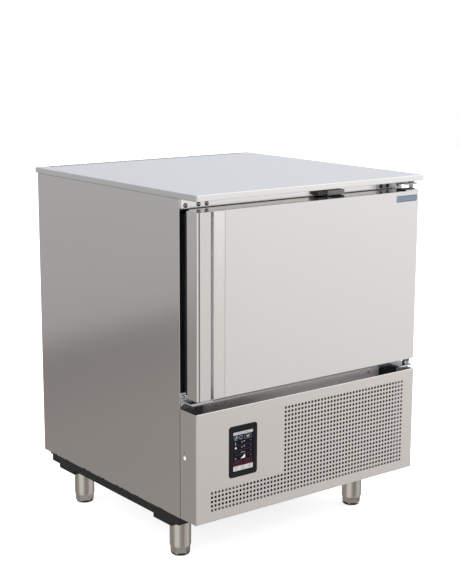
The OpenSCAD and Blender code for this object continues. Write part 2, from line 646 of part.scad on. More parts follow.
module door_hinge_bushes() {
  color([0.3, 0.31, 0.32]) translate([hx, hy, 0]) {
    rotate_extrude($fn = 40) polygon([[6 + pin_gap, dz0 - 9.9], [10.5, dz0 - 9.9], [10.5, dz0], [bush_r - 0.03, dz0], [bush_r - 0.03, dz0 + 26], [6 + pin_gap, dz0 + 26]]);
    rotate_extrude($fn = 40) polygon([[6 + pin_gap, dz1 - 26], [bush_r - 0.03, dz1 - 26], [bush_r - 0.03, dz1], [10.5, dz1], [10.5, dz1 + 4], [6 + pin_gap, dz1 + 4]]);
    difference() {
      bx([-38, -18, dz1], [9, 22, dz1 + 3]);
      translate([0, 0, dz1 - 1]) cylinder(h = 6, r = 10.5, $fn = 40);
    }
  }
}
module door_magnet() {
  color(dark) { bx([84, -372, dz1], [128, -354, dz1 + 1.5]); bx([92, -369, dz1 + 1.5], [120, -357, dz1 + 4]); }
}
module door_badge_plate() {
  color([0.49, 0.54, 0.6]) wall_y(df - 0.8, df) rr([303, 950], [382.5, 969], 1.5);
}

worktop();
worktop_core();
side_panel_left();
side_panel_right();
back_panel();
face_frame();
cabinet_insulation();
inner_liner();
galvanised_casing();
base_pan();
cross_members();
leg_tubes();
service_panel();
panel_side_plug();
display_bezel();
display_glass();
display_housing();
electrical_box();
compressor();
compressor_mounts();
condenser_coil();
condenser_shroud();
condenser_fan_motor();
filter_drier();
liquid_receiver();
refrigerant_pipes();
drain_pipe();
cable_glands();
evaporator_coil();
fan_baffle();
evaporator_fan_motor();
tray_runners_left();
tray_runners_right();
top_hinge_plate();
bottom_hinge_bracket();
hinge_pins();
spare_hinge_plate();
door_rest_bracket();
door_rest_pad();
door_switch();
casing_screws();
door_skin();
door_handle();
door_foam();
door_liner();
door_inner_panel();
door_gasket();
door_hinge_bushes();
door_magnet();
door_badge_plate();
condenser_fan();
evaporator_fan();
adjuster_front_left();
adjuster_front_right();
adjuster_rear_left();
adjuster_rear_right();
foot_pad_front_left();
foot_pad_front_right();
foot_pad_rear_left();
foot_pad_rear_right();
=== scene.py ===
import bmesh
import bpy
import json
import math
import random
import numpy as np
from mathutils import Matrix, Vector
from mathutils.geometry import delaunay_2d_cdt


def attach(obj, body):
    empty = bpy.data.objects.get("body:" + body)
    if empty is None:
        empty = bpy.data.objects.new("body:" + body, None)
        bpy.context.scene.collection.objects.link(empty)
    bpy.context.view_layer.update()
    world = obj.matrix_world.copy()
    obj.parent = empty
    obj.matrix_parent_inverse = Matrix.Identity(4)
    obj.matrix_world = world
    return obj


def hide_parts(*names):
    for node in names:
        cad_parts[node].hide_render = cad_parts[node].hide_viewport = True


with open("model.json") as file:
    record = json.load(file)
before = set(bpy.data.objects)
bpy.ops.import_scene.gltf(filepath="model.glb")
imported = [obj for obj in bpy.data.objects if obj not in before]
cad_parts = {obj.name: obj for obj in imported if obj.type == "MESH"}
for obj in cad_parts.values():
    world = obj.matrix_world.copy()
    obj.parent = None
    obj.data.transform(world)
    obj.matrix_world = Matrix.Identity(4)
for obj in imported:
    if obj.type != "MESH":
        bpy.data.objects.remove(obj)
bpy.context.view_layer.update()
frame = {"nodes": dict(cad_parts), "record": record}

NODES = frame["nodes"]
BODY_OF = {n: b for b, ns in frame["record"]["behaviour"]["bodies"].items() for n in ns}
SLOT_OF = {s["node"]: s["material_slot"] for s in frame["record"]["subparts"]}
RNG = random.Random(41)
scene = bpy.context.scene
scene.view_settings.view_transform = "Standard"
scene.view_settings.look = "None"
scene.view_settings.exposure = 0.0
scene.view_settings.gamma = 1.0

# ---------------------------------------------------------------- camera
yaw, pitch, roll = math.radians(37.448), math.radians(11.631), math.radians(0.192)
fwd = Vector((math.sin(yaw) * math.cos(pitch), math.cos(yaw) * math.cos(pitch), -math.sin(pitch)))
right = Vector((math.cos(yaw), -math.sin(yaw), 0.0))
up = right.cross(fwd)
r2 = right * math.cos(roll) + up * math.sin(roll)
u2 = -right * math.sin(roll) + up * math.cos(roll)
cam_data = bpy.data.cameras.new("view_camera")
cam_data.lens = 80.41
cam_data.sensor_width = 36.0
cam_data.sensor_fit = "AUTO"
cam_data.clip_start = 0.05
cam_data.clip_end = 100.0
camera = bpy.data.objects.new("view_camera", cam_data)
scene.collection.objects.link(camera)
rot = Matrix((r2, u2, -fwd)).transposed().to_4x4()
camera.matrix_world = Matrix.Translation((-2.2840, -3.0052, 1.4434)) @ rot
scene.camera = camera


# ---------------------------------------------------------------- material kit
class Mat:
    """A procedural material on one Principled shader, with its texture nodes kept short to write."""

    def __init__(self, name, color=(0.5, 0.5, 0.5), metallic=0.0, rough=0.5, spec=0.5, coat=0.0, coat_rough=0.1):
        self.m = bpy.data.materials.new(name)
        self.m.use_nodes = True
        self.nt = self.m.node_tree
        self.b = self.nt.nodes["Principled BSDF"]
        self.b.inputs["Base Color"].default_value = (*color, 1)
        self.b.inputs["Metallic"].default_value = metallic
        self.b.inputs["Roughness"].default_value = rough
        self.b.inputs["Specular IOR Level"].default_value = spec
        self.b.inputs["Coat Weight"].default_value = coat
        self.b.inputs["Coat Roughness"].default_value = coat_rough
        self.coord = self.nt.nodes.new("ShaderNodeTexCoord").outputs["Object"]

    def link(self, a, b):
        self.nt.links.new(a, b)
        return a

    def map(self, scale=(1, 1, 1), rot=(0, 0, 0), loc=(0, 0, 0)):
        n = self.nt.nodes.new("ShaderNodeMapping")
        n.inputs["Scale"].default_value = scale
        n.inputs["Rotation"].default_value = rot
        n.inputs["Location"].default_value = loc
        self.link(self.coord, n.inputs["Vector"])
        return n.outputs["Vector"]

    def noise(self, scale=1.0, vec=None, detail=3.0, rough=0.5, dist=0.0):
        n = self.nt.nodes.new("ShaderNodeTexNoise")
        n.inputs["Scale"].default_value = scale
        n.inputs["Detail"].default_value = detail
        n.inputs["Roughness"].default_value = rough
        n.inputs["Distortion"].default_value = dist
        self.link(vec if vec is not None else self.coord, n.inputs["Vector"])
        return n.outputs["Fac"]

    def cells(self, scale=1.0, vec=None, feature="F1", out="Distance"):
        n = self.nt.nodes.new("ShaderNodeTexVoronoi")
        n.feature = feature
        n.inputs["Scale"].default_value = scale
        self.link(vec if vec is not None else self.coord, n.inputs["Vector"])
        return n.outputs[out]

    def ramp(self, fac, *stops):
        n = self.nt.nodes.new("ShaderNodeValToRGB")
        r = n.color_ramp
        while len(r.elements) < len(stops):
            r.elements.new(0.5)
        for e, (p, c) in zip(r.elements, stops):
            e.position = p
            e.color = (c, c, c, 1) if not isinstance(c, tuple) else (*c, 1)
        self.link(fac, n.inputs["Fac"])
        return n.outputs["Color"]

    def math(self, op, a, b=None, clamp=False):
        n = self.nt.nodes.new("ShaderNodeMath")
        n.operation = op
        n.use_clamp = clamp
        for i, v in enumerate((a, b)):
            if v is None:
                continue
            if isinstance(v, (int, float)):
                n.inputs[i].default_value = v
            else:
                self.link(v, n.inputs[i])
        return n.outputs[0]

    def mix(self, fac, a, b, blend="MIX"):
        n = self.nt.nodes.new("ShaderNodeMix")
        n.data_type = "RGBA"
        n.blend_type = blend
        for i, v in ((0, fac), (6, a), (7, b)):
            if isinstance(v, (int, float)):
                n.inputs[i].default_value = v
            elif isinstance(v, tuple):
                n.inputs[i].default_value = (*v, 1)
            else:
                self.link(v, n.inputs[i])
        return n.outputs[2]

    def bump(self, height, strength=0.2, dist=0.001, after=None):
        n = self.nt.nodes.new("ShaderNodeBump")
        n.inputs["Strength"].default_value = strength
        n.inputs["Distance"].default_value = dist
        self.link(height, n.inputs["Height"])
        if after is not None:
            self.link(after, n.inputs["Normal"])
        return n.outputs["Normal"]

    def color(self, v):
        self.link(v, self.b.inputs["Base Color"])

    def rough(self, v):
        self.link(v, self.b.inputs["Roughness"])

    def normal(self, v):
        self.link(v, self.b.inputs["Normal"])


def srgb(h):
    """Hex display colour to linear."""
    out = []
    for i in (0, 2, 4):
        c = int(h[i:i + 2], 16) / 255
        out.append(c / 12.92 if c <= 0.04045 else ((c + 0.055) / 1.055) ** 2.4)
    return tuple(out)


def brushed(name, tint, r0, r1, along="x", grain=1.0, wave=1.0, smudge=1.0, metal=1.0, painted_height_shade=()):
    """Ground stainless sheet: fine grain along one axis, longer streaks, faint handling marks and the slight waviness
    of thin sheet; the last argument gives (height, tone) steps that scale the colour by height, painted shade and
    light.
    """
    m = Mat(name, tint, metal, (r0 + r1) / 2)
    s = {"x": (18, 1900, 1900), "y": (1900, 18, 1900), "z": (1900, 1900, 18)}[along]
    l = {"x": (2.2, 160, 160), "y": (160, 2.2, 160), "z": (160, 160, 2.2)}[along]
    fine = m.noise(1.0, m.map(s), 3, 0.65)
    streak = m.noise(1.0, m.map(l, loc=(3.1, 1.7, 5.3)), 4, 0.6)
    hand = m.noise(5.5, m.map((1, 1, 0.8), loc=(7, 2, 4)), 5, 0.55, 0.6)
    rub = m.noise(23.0, None, 4, 0.6, 1.2)
    scratch = m.cells(1.0, m.map({"x": (3, 90, 90), "y": (90, 3, 90), "z": (90, 90, 3)}[along], rot=(0.02, 0.03, 0.015)), "DISTANCE_TO_EDGE")
    mark = m.ramp(scratch, (0.0, 1.0), (0.004, 0.0))
    worn = m.math("MULTIPLY", mark, m.ramp(rub, (0.62, 0.0), (0.74, 1.0)))
    # colour: grain lines a little darker, handling marks barely warmer
    dark = tuple(c * 0.955 for c in tint)
    warm = (tint[0] * 0.985, tint[1] * 0.975, tint[2] * 0.955)
    c = m.mix(m.ramp(fine, (0.36, 0.0), (0.62, 1.0)), dark, tint)
    c = m.mix(m.math("MULTIPLY", m.ramp(hand, (0.45, 0.0), (0.75, 1.0)), 0.75 * smudge), c, warm)
    c = m.mix(m.math("MULTIPLY", m.ramp(streak, (0.40, 0.0), (0.70, 1.0)), 0.35), c, tuple(v * 0.965 for v in tint))
    c = m.mix(m.math("MULTIPLY", worn, 0.35), c, tuple(v * 0.7 for v in tint))
    # painted shade and light: the colour is multiplied by a tone read off the height steps
    if painted_height_shade:
        sx = m.nt.nodes.new("ShaderNodeSeparateXYZ")
        m.link(m.coord, sx.inputs[0])
        lo, span = painted_height_shade[0][0], painted_height_shade[-1][0] - painted_height_shade[0][0]
        t = m.math("MULTIPLY", m.math("SUBTRACT", sx.outputs["Z"], lo), 1 / span)
        c = m.mix(1.0, c, m.ramp(t, *[((h - lo) / span, k) for h, k in painted_height_shade]), "MULTIPLY")
    m.color(c)
    k = m.math("ADD", m.math("MULTIPLY", fine, 0.35), m.math("MULTIPLY", streak, 0.35))
    k = m.math("ADD", k, m.math("MULTIPLY", hand, 0.3 * smudge))
    m.rough(m.math("ADD", m.math("MULTIPLY", k, (r1 - r0) * 1.3), r0, True))
    w = m.noise(2.6, m.map((1, 1, 1), loc=(1, 9, 3)), 1.0, 0.4)
    n = m.bump(w, 0.22 * wave, 0.004)
    n = m.bump(fine, 0.10 * grain, 0.00006, n)
    n = m.bump(streak, 0.06 * grain, 0.0002, n)
    m.normal(n)
    return m.m


def zinc_plate(name, tint=(0.60, 0.63, 0.66), r=0.30):
    """Bright zinc plating: cloudy passivation with a faint blue and straw cast, small dull spots and a fine grain."""
    m = Mat(name, tint, 1.0, r)
    a = m.noise(60, None, 5, 0.6, 0.8)
    b = m.noise(240, None, 3, 0.5)
    d = m.noise(900, m.map((1, 1, 3)), 2, 0.5)
    blue = (tint[0] * 0.86, tint[1] * 0.95, tint[2] * 1.04)
    straw = (tint[0] * 1.04, tint[1] * 0.99, tint[2] * 0.86)
    c = m.mix(m.ramp(a, (0.35, 0.0), (0.65, 1.0)), blue, straw)
    c = m.mix(0.5, c, tint)
    c = m.mix(m.ramp(b, (0.66, 0.0), (0.80, 0.7)), c, tuple(v * 0.55 for v in tint))
    m.color(c)
    m.rough(m.ramp(m.math("ADD", m.math("MULTIPLY", a, 0.6), m.math("MULTIPLY", b, 0.4)), (0.3, r - 0.1), (0.7, r + 0.14)))
    m.normal(m.bump(d, 0.15, 0.00008, m.bump(a, 0.1, 0.0003)))
    return m.m


def moulded(name, col, rough=0.45, grain=1800, depth=0.12, dust=0.25, spec=0.45):
    """Moulded plastic or coated part with a fine eroded grain, slight colour drift, dull dust in patches."""
    m = Mat(name, col, 0.0, rough, spec)
    g = m.noise(grain, None, 2, 0.5)
    a = m.noise(14, None, 5, 0.6, 0.5)
    s = m.noise(120, None, 4, 0.65)
    lift = tuple(min(1, v * 1.25 + 0.012) for v in col)
    c = m.mix(m.ramp(a, (0.35, 0.0), (0.7, 1.0)), col, tuple(v * 0.86 for v in col))
    c = m.mix(m.math("MULTIPLY", m.ramp(s, (0.52, 0.0), (0.78, 1.0)), dust), c, tuple(min(1, v + 0.06) for v in lift))
    m.color(c)
    m.rough(m.ramp(m.math("ADD", m.math("MULTIPLY", a, 0.5), m.math("MULTIPLY", g, 0.5)), (0.25, rough - 0.08), (0.75, rough + 0.12)))
    m.normal(m.bump(g, depth, 0.00015, m.bump(a, 0.04, 0.0008)))
    return m.m


def painted(name, col, rough=0.42, wear=0.5, spec=0.5):
    """Sprayed black coat on steel: orange peel, dull overspray, small chips down to grey and specks of dust."""
    m = Mat(name, col, 0.0, rough, spec)
    peel = m.noise(420, None, 2, 0.5)
    a = m.noise(11, None, 5, 0.6, 0.4)
    chip = m.noise(160, None, 3, 0.6)
    fleck = m.cells(330)
    c = m.mix(m.ramp(a, (0.3, 0.0), (0.75, 1.0)), col, tuple(v * 1.5 + 0.004 for v in col))
    c = m.mix(m.math("MULTIPLY", m.ramp(fleck, (0.0, 1.0), (0.09, 0.0)), 0.5 * wear), c, (0.20, 0.19, 0.17))
    c = m.mix(m.math("MULTIPLY", m.ramp(chip, (0.74, 0.0), (0.78, 1.0)), wear), c, (0.22, 0.21, 0.20))
    m.color(c)
    m.rough(m.ramp(m.math("ADD", m.math("MULTIPLY", a, 0.5), m.math("MULTIPLY", peel, 0.5)), (0.3, rough - 0.08), (0.75, rough + 0.16)))
    m.normal(m.bump(peel, 0.18, 0.0004))
    return m.m


def rubber(name, col=(0.012, 0.012, 0.014), rough=0.6):
    m = Mat(name, col, 0.0, rough, 0.35)
    g = m.noise(700, None, 3, 0.6)
    a = m.noise(30, None, 4, 0.6, 0.3)
    c = m.mix(m.ramp(a, (0.35, 0.0), (0.75, 1.0)), col, tuple(v * 2.2 + 0.01 for v in col))
    c = m.mix(m.math("MULTIPLY", m.ramp(g, (0.6, 0.0), (0.8, 1.0)), 0.25), c, (0.10, 0.10, 0.10))
    m.color(c)
    m.rough(m.ramp(g, (0.3, rough - 0.1), (0.7, rough + 0.15)))
    m.normal(m.bump(g, 0.2, 0.0002))
    return m.m


def galvanised(name, tint=(0.42, 0.43, 0.44), r=0.34):
    """Hot dip spangle: crystal patches that differ in tone and gloss."""
    m = Mat(name, tint, 1.0, r)
    warp = m.noise(40, None, 3, 0.5)
    v = m.cells(95, m.map((1, 1, 1)), "F1", "Color")
    f = m.nt.nodes.new("ShaderNodeRGBToBW")
    m.link(v, f.inputs[0])
    sp = f.outputs[0]
    fine = m.noise(800, m.map((1, 6, 1)), 3, 0.6)
    c = m.mix(m.ramp(sp, (0.2, 0.0), (0.8, 1.0)), tuple(x * 0.82 for x in tint), tuple(x * 1.12 for x in tint))
    c = m.mix(m.math("MULTIPLY", m.ramp(warp, (0.5, 0.0), (0.8, 1.0)), 0.3), c, tuple(x * 0.75 for x in tint))
    m.color(c)
    m.rough(m.ramp(m.math("ADD", m.math("MULTIPLY", sp, 0.7), m.math("MULTIPLY", fine, 0.3)), (0.2, r - 0.08), (0.8, r + 0.14)))
    m.normal(m.bump(fine, 0.1, 0.0001, m.bump(sp, 0.05, 0.0002)))
    return m.m


def copper(name):
    m = Mat(name, (0.72, 0.36, 0.22), 1.0, 0.32)
    a = m.noise(45, None, 5, 0.6, 0.6)
    b = m.noise(300, m.map((1, 1, 0.3)), 3, 0.6)
    c = m.mix(m.ramp(a, (0.35, 0.0), (0.7, 1.0)), (0.76, 0.40, 0.25), (0.42, 0.19, 0.11))
    c = m.mix(m.math("MULTIPLY", m.ramp(b, (0.6, 0.0), (0.8, 1.0)), 0.4), c, (0.20, 0.10, 0.07))
    m.color(c)
    m.rough(m.ramp(a, (0.3, 0.22), (0.7, 0.48)))
    m.normal(m.bump(b, 0.12, 0.0002))
    return m.m


def foam(name):
    m = Mat(name, (0.72, 0.62, 0.40), 0.0, 0.85, 0.2)
    v = m.cells(420)
    a = m.noise(18, None, 5, 0.6)
    m.color(m.mix(m.ramp(a, (0.3, 0.0), (0.7, 1.0)), (0.76, 0.66, 0.44), (0.62, 0.50, 0.30)))
    m.rough(m.ramp(v, (0.0, 0.78), (0.6, 0.92)))
    m.normal(m.bump(v, 0.6, 0.0008))
    return m.m


def chipboard(name):
    m = Mat(name, (0.50, 0.38, 0.24), 0.0, 0.75, 0.25)
    v = m.cells(240, m.map((1, 1, 2.5)), "F1", "Color")
    f = m.nt.nodes.new("ShaderNodeRGBToBW")
    m.link(v, f.inputs[0])
    a = m.noise(60, None, 4, 0.6)
    c = m.mix(f.outputs[0], (0.38, 0.27, 0.16), (0.62, 0.50, 0.34))
    m.color(m.mix(m.ramp(a, (0.5, 0.0), (0.8, 0.6)), c, (0.24, 0.16, 0.09)))
    m.rough(m.ramp(a, (0.3, 0.65), (0.7, 0.85)))
    m.normal(m.bump(f.outputs[0], 0.3, 0.0004))
    return m.m


def fin_stock(name, k=1.0):
    """Rolled aluminium fins; k below one darkens the stock and makes it less metallic, painted shade for fins that are
    seen only through the perforation.
    """
    m = Mat(name, (0.62 * k, 0.63 * k, 0.64 * k), 1.0 if k > 0.5 else 0.4, 0.38)
    a = m.noise(30, None, 4, 0.6)
    b = m.noise(500, m.map((1, 1, 0.2)), 3, 0.6)
    m.color(m.mix(m.ramp(a, (0.3, 0.0), (0.75, 1.0)), (0.66 * k, 0.67 * k, 0.68 * k), (0.46 * k, 0.47 * k, 0.47 * k)))
    m.rough(m.ramp(b, (0.3, 0.28), (0.7, 0.5)))
    m.normal(m.bump(b, 0.25, 0.0002))
    return m.m


def recess_sheet(name):
    """The grey sheet behind the panel's top edge: dull zinc with drip marks and rubbed patches. It is pale and only
    half metallic in the middle, painted light; painted shade makes it greener and darker at its two ends and darker
    towards its lower edge.
    """
    m = Mat(name, (0.6, 0.58, 0.57), 0.45, 0.38)
    sx = m.nt.nodes.new("ShaderNodeSeparateXYZ")
    m.link(m.coord, sx.inputs[0])
    u = m.math("ADD", m.math("MULTIPLY", sx.outputs["X"], 1.25), 0.5)
    # painted shade: darker and greener towards both ends of the sheet, pale in the middle
    tone_with_painted_end_shade = m.ramp(u, (0.0, (0.25, 0.28, 0.28)), (0.085, (0.33, 0.36, 0.36)), (0.125, (0.80, 0.75, 0.735)), (0.55, (0.94, 0.89, 0.87)), (0.88, (0.92, 0.87, 0.86)), (0.925, (0.20, 0.215, 0.22)), (1.0, (0.11, 0.125, 0.13)))
    a = m.noise(30, m.map((1, 1, 2.5)), 4, 0.6, 0.6)
    b = m.noise(260, m.map((4, 1, 1)), 3, 0.6)
    # painted shade: darker towards the lower edge, behind the service panel's top
    painted_low_shade = m.ramp(m.math("MULTIPLY", m.math("SUBTRACT", sx.outputs["Z"], 0.440), 45.0), (0.0, 0.56), (0.5, 0.82), (0.92, 1.0))
    tone_with_painted_end_shade = m.mix(1.0, tone_with_painted_end_shade, painted_low_shade, "MULTIPLY")
    c = m.mix(m.math("MULTIPLY", m.ramp(a, (0.40, 0.0), (0.72, 1.0)), 0.22), tone_with_painted_end_shade, (0.30, 0.29, 0.28))
    c = m.mix(m.math("MULTIPLY", m.ramp(b, (0.55, 0.0), (0.75, 1.0)), 0.12), c, (0.85, 0.84, 0.82))
    m.color(c)
    m.rough(m.ramp(a, (0.3, 0.30), (0.7, 0.48)))
    m.normal(m.bump(b, 0.08, 0.0001))
    return m.m


def lit(name, col, power, grid=900.0):
    """A lit part of the display: its colour with a faint pixel mesh and an uneven back light, under a glossy cover."""
    m = Mat(name, tuple(c * 0.2 for c in col), 0.0, 0.35, 0.2, 0.15, 0.1)
    g = m.noise(90, None, 3, 0.5)
    p = m.noise(grid, None, 2, 0.5)
    c = m.mix(m.ramp(g, (0.3, 0.0), (0.75, 1.0)), col, tuple(x * 0.84 for x in col))
    c = m.mix(m.math("MULTIPLY", m.ramp(p, (0.5, 0.0), (0.7, 1.0)), 0.25), c, tuple(x * 0.7 for x in col))
    m.link(c, m.b.inputs["Emission Color"])
    m.b.inputs["Emission Strength"].default_value = power
    m.rough(m.ramp(g, (0.3, 0.18), (0.7, 0.32)))
    m.normal(m.bump(p, 0.02, 0.0001))
    return m.m


S = (0.63, 0.617, 0.60)
M = {
    "worktop_steel": brushed("worktop_brushed_steel", (0.645, 0.652, 0.662), 0.24, 0.36, "x", 0.7, 0.6),
    "panel_steel": brushed("panel_brushed_steel", (0.622, 0.604, 0.592), 0.055, 0.095, "y", 0.12, 0.30, 0.5),
    "front_steel": brushed("front_brushed_steel", (0.665, 0.640, 0.622), 0.18, 0.28, "x", 0.6, 0.6),
    # near-black steel for the cut rims and hole walls of the service panel, so the perforation reads dark: painted
    # shade
    "hole_wall_painted_shade": brushed("punched_edge_painted_shade", (0.018, 0.018, 0.017), 0.45, 0.60, "x", 1.0, 0.3),
    "panel_inside": brushed("panel_inner_face", (0.74, 0.745, 0.75), 0.40, 0.55, "x", 0.6, 0.5, 1.0, 0.25),
    "door_steel": brushed("door_brushed_steel", (0.708, 0.702, 0.690), 0.15, 0.23, "z", 0.5, 0.5),
    # front returns of the side panels: a rougher finish, with painted shade (tone 0.14) below height 0.449, behind the
    # service panel's top edge
    "return_steel_painted_shade": brushed("panel_return_steel_painted_shade", (0.622, 0.604, 0.592), 0.10, 0.16, "z", 0.2, 0.2, 0.5, 1.0, ((0.449, 0.14), (0.455, 1.0))),
    # dark copy of the frame steel for the flared lower lip: painted shade in the recess below the door
    "lip_painted_shade": brushed("frame_lip_painted_shade", (0.33, 0.315, 0.325), 0.20, 0.30, "x", 0.6, 0.4),
    # near-white steel for the service panel's top hem: painted highlight
    "hem_painted_highlight": brushed("panel_hem_painted_highlight", (0.95, 0.945, 0.935), 0.22, 0.30, "x", 0.3, 0.1),
    # dark teal copy of the panel steel for its right fixing tab: painted shade
    "tab_painted_shade": brushed("panel_tab_painted_shade", (0.085, 0.105, 0.112), 0.30, 0.42, "x", 0.6, 0.3),
    # finger recess wall: a paler, barely metallic copy of the door steel so the recess reads grey: painted light
    "finger_recess_painted_light": brushed("finger_recess_painted_light_steel", (0.74, 0.735, 0.73), 0.42, 0.55, "z", 0.2, 0.0, 0.5, 0.22),
    # slanted face of the finger recess: a pinker copy of the door steel, lighter towards its top: painted light and
    # reflection
    "slant_painted_light": brushed("slanted_face_painted_light", (0.725, 0.695, 0.680), 0.14, 0.20, "z", 0.4, 0.2, 0.5, 1.0, ((0.70, 0.90), (0.80, 0.92), (0.95, 1.0))),
    # worktop's front edge: a lighter copy of the worktop steel, painted light
    "edge_painted_light": brushed("worktop_edge_painted_light", (0.79, 0.783, 0.772), 0.20, 0.30, "x", 0.6, 0.4),
    "handle_steel": brushed("handle_brushed_steel", (0.655, 0.637, 0.622), 0.12, 0.19, "z", 0.5, 0.3),
    "liner_steel": brushed("liner_brushed_steel", (0.62, 0.62, 0.61), 0.24, 0.36, "x", 1.0, 0.6),
    "leg_steel": brushed("leg_brushed_steel", (0.52, 0.49, 0.45), 0.16, 0.26, "z", 1.5, 0.5),
    # face frame steel with a painted shadow band, toned to 0.30 between heights 0.9725 and 0.9805, on the rail just
    # above the door's top
    "frame_steel_painted_shadow": brushed("frame_brushed_steel_painted_shadow", (0.79, 0.782, 0.770), 0.16, 0.26, "x", 1.0, 0.8, 1.0, 1.0, ((0.9660, 1.0), (0.9725, 0.30), (0.9805, 0.30), (0.9850, 1.0))),
    "zinc": zinc_plate("zinc_plated_steel", (0.47, 0.485, 0.495), 0.30),
    # darker and lighter copies of the zinc plate: painted shade and painted light on the hinge parts and the door rest
    # bracket
    "zinc_painted_shade": zinc_plate("zinc_plated_painted_shade", (0.235, 0.265, 0.280), 0.32),
    "zinc_painted_light": zinc_plate("zinc_plated_painted_light", (0.66, 0.68, 0.70), 0.24),
    "galvanised": galvanised("galvanised_sheet"),
    # sheet behind the service panel's top, with painted light and shade along and down it
    "recess": recess_sheet("recess_grey_sheet_painted_light_and_shade"),
    "black_metal": painted("black_coated_steel", (0.0055, 0.0055, 0.006), 0.42, 0.5, 0.18),
    "compressor_paint": painted("compressor_black_paint", (0.012, 0.012, 0.013), 0.32, 0.6),
    "dark_plastic": moulded("black_moulded_plastic", (0.0085, 0.009, 0.010), 0.46, 1800, 0.12, 0.08, 0.18),
    "bezel_plastic": moulded("bezel_satin_plastic", (0.0070, 0.0076, 0.0085), 0.42, 2200, 0.08, 0.04, 0.10),
    "white_plastic": moulded("white_moulded_plastic", (0.72, 0.76, 0.79), 0.38, 1500, 0.08, 0.1),
    "switch_plastic": moulded("grey_moulded_plastic", (0.40, 0.42, 0.45), 0.42, 1500, 0.1, 0.15),
    "switch_dark": moulded("dark_grey_moulded_plastic", (0.10, 0.105, 0.115), 0.45, 1500, 0.1, 0.15),
    "fan_plastic": moulded("fan_blade_plastic", (0.055, 0.056, 0.06), 0.40, 900, 0.12, 0.3),
    "pipe_plastic": moulded("drain_pipe_plastic", (0.55, 0.56, 0.56), 0.45, 900, 0.1, 0.3),
    "gasket": rubber("gasket_rubber_black", (0.007, 0.007, 0.008)),
    "pad": rubber("foot_pad_rubber", (0.010, 0.013, 0.018), 0.62),
    "foam": foam("rigid_foam"),
    "board": chipboard("core_chipboard"),
    "fins": fin_stock("aluminium_fin_stock"),
    # near-black condenser fins: painted shade behind the perforated panel
    "fins_painted_shade": fin_stock("condenser_fin_stock_painted_shade", 0.07),
    # near-black galvanised fan shroud behind the perforated panel: painted shade
    "shroud": galvanised("shroud_sheet_painted_shade", (0.07, 0.072, 0.074), 0.45),
    "copper": copper("copper_tube"),
    "screw": zinc_plate("screw_steel", (0.50, 0.53, 0.57), 0.24),
    # dark copy of the screw steel for rings and whole heads: painted shade
    "screw_painted_shade": zinc_plate("screw_steel_painted_shade", (0.10, 0.105, 0.12), 0.30),
    "blank": brushed("blank_plate_satin", (0.165, 0.205, 0.262), 0.30, 0.42, "x", 1.0, 0.3, 1.0, 0.35),
    "blank_edge": brushed("blank_plate_edge", (0.40, 0.43, 0.46), 0.24, 0.34, "x", 1.0, 0.3, 1.0, 0.7),
    "blank_rim": brushed("blank_plate_rim", (0.075, 0.095, 0.125), 0.30, 0.42, "x", 1.0, 0.3, 1.0, 0.35),
    "electric": painted("grey_coated_steel", (0.30, 0.31, 0.32), 0.45, 0.3),
    "sealant": painted("black_sealing_compound", (0.006, 0.006, 0.006), 0.62, 1.0, 0.25),
}


# ---------------------------------------------------------------- mesh kit (millimetres in, metres out)
def arc(cx, cy, r, a0, a1, n):
    return [(cx + r * math.cos(math.radians(a0 + (a1 - a0) * i / n)), cy + r * math.sin(math.radians(a0 + (a1 - a0) * i / n))) for i in range(n + 1)]


def rrect(x0, z0, x1, z1, r, n=6):
    """Rounded rectangle, anticlockwise."""
    if r <= 0.001:
        return [(x0, z0), (x1, z0), (x1, z1), (x0, z1)]
    return arc(x1 - r, z0 + r, r, -90, 0, n) + arc(x1 - r, z1 - r, r, 0, 90, n) + arc(x0 + r, z1 - r, r, 90, 180, n) + arc(x0 + r, z0 + r, r, 180, 270, n)


def circ(cx, cy, r, n=24, a0=0.0):
    return [(cx + r * math.cos(a0 + 2 * math.pi * i / n), cy + r * math.sin(a0 + 2 * math.pi * i / n)) for i in range(n)]


def bend(path, radii, n=5):
    """A polyline whose inner corners are rounded with the given radii."""
    out = [path[0]]
    for i in range(1, len(path) - 1):
        p, a, b = Vector(path[i]), Vector(path[i - 1]), Vector(path[i + 1])
        r = radii[i - 1]
        if r <= 0:
            out.append(tuple(p))
            continue
        u, v = (a - p).normalized(), (b - p).normalized()
        half = math.acos(max(-1, min(1, u.dot(v)))) / 2
        d = r / math.tan(half)
        c = p + (u + v).normalized() * (r / math.sin(half))
        s, e = p + u * d - c, p + v * d - c
        a0, a1 = math.atan2(s.y, s.x), math.atan2(e.y, e.x)
        while a1 - a0 > math.pi:
            a1 -= 2 * math.pi
        while a1 - a0 < -math.pi:
            a1 += 2 * math.pi
        out += [(c.x + r * math.cos(a0 + (a1 - a0) * k / n), c.y + r * math.sin(a0 + (a1 - a0) * k / n)) for k in range(n + 1)]
    out.append(path[-1])
    return out


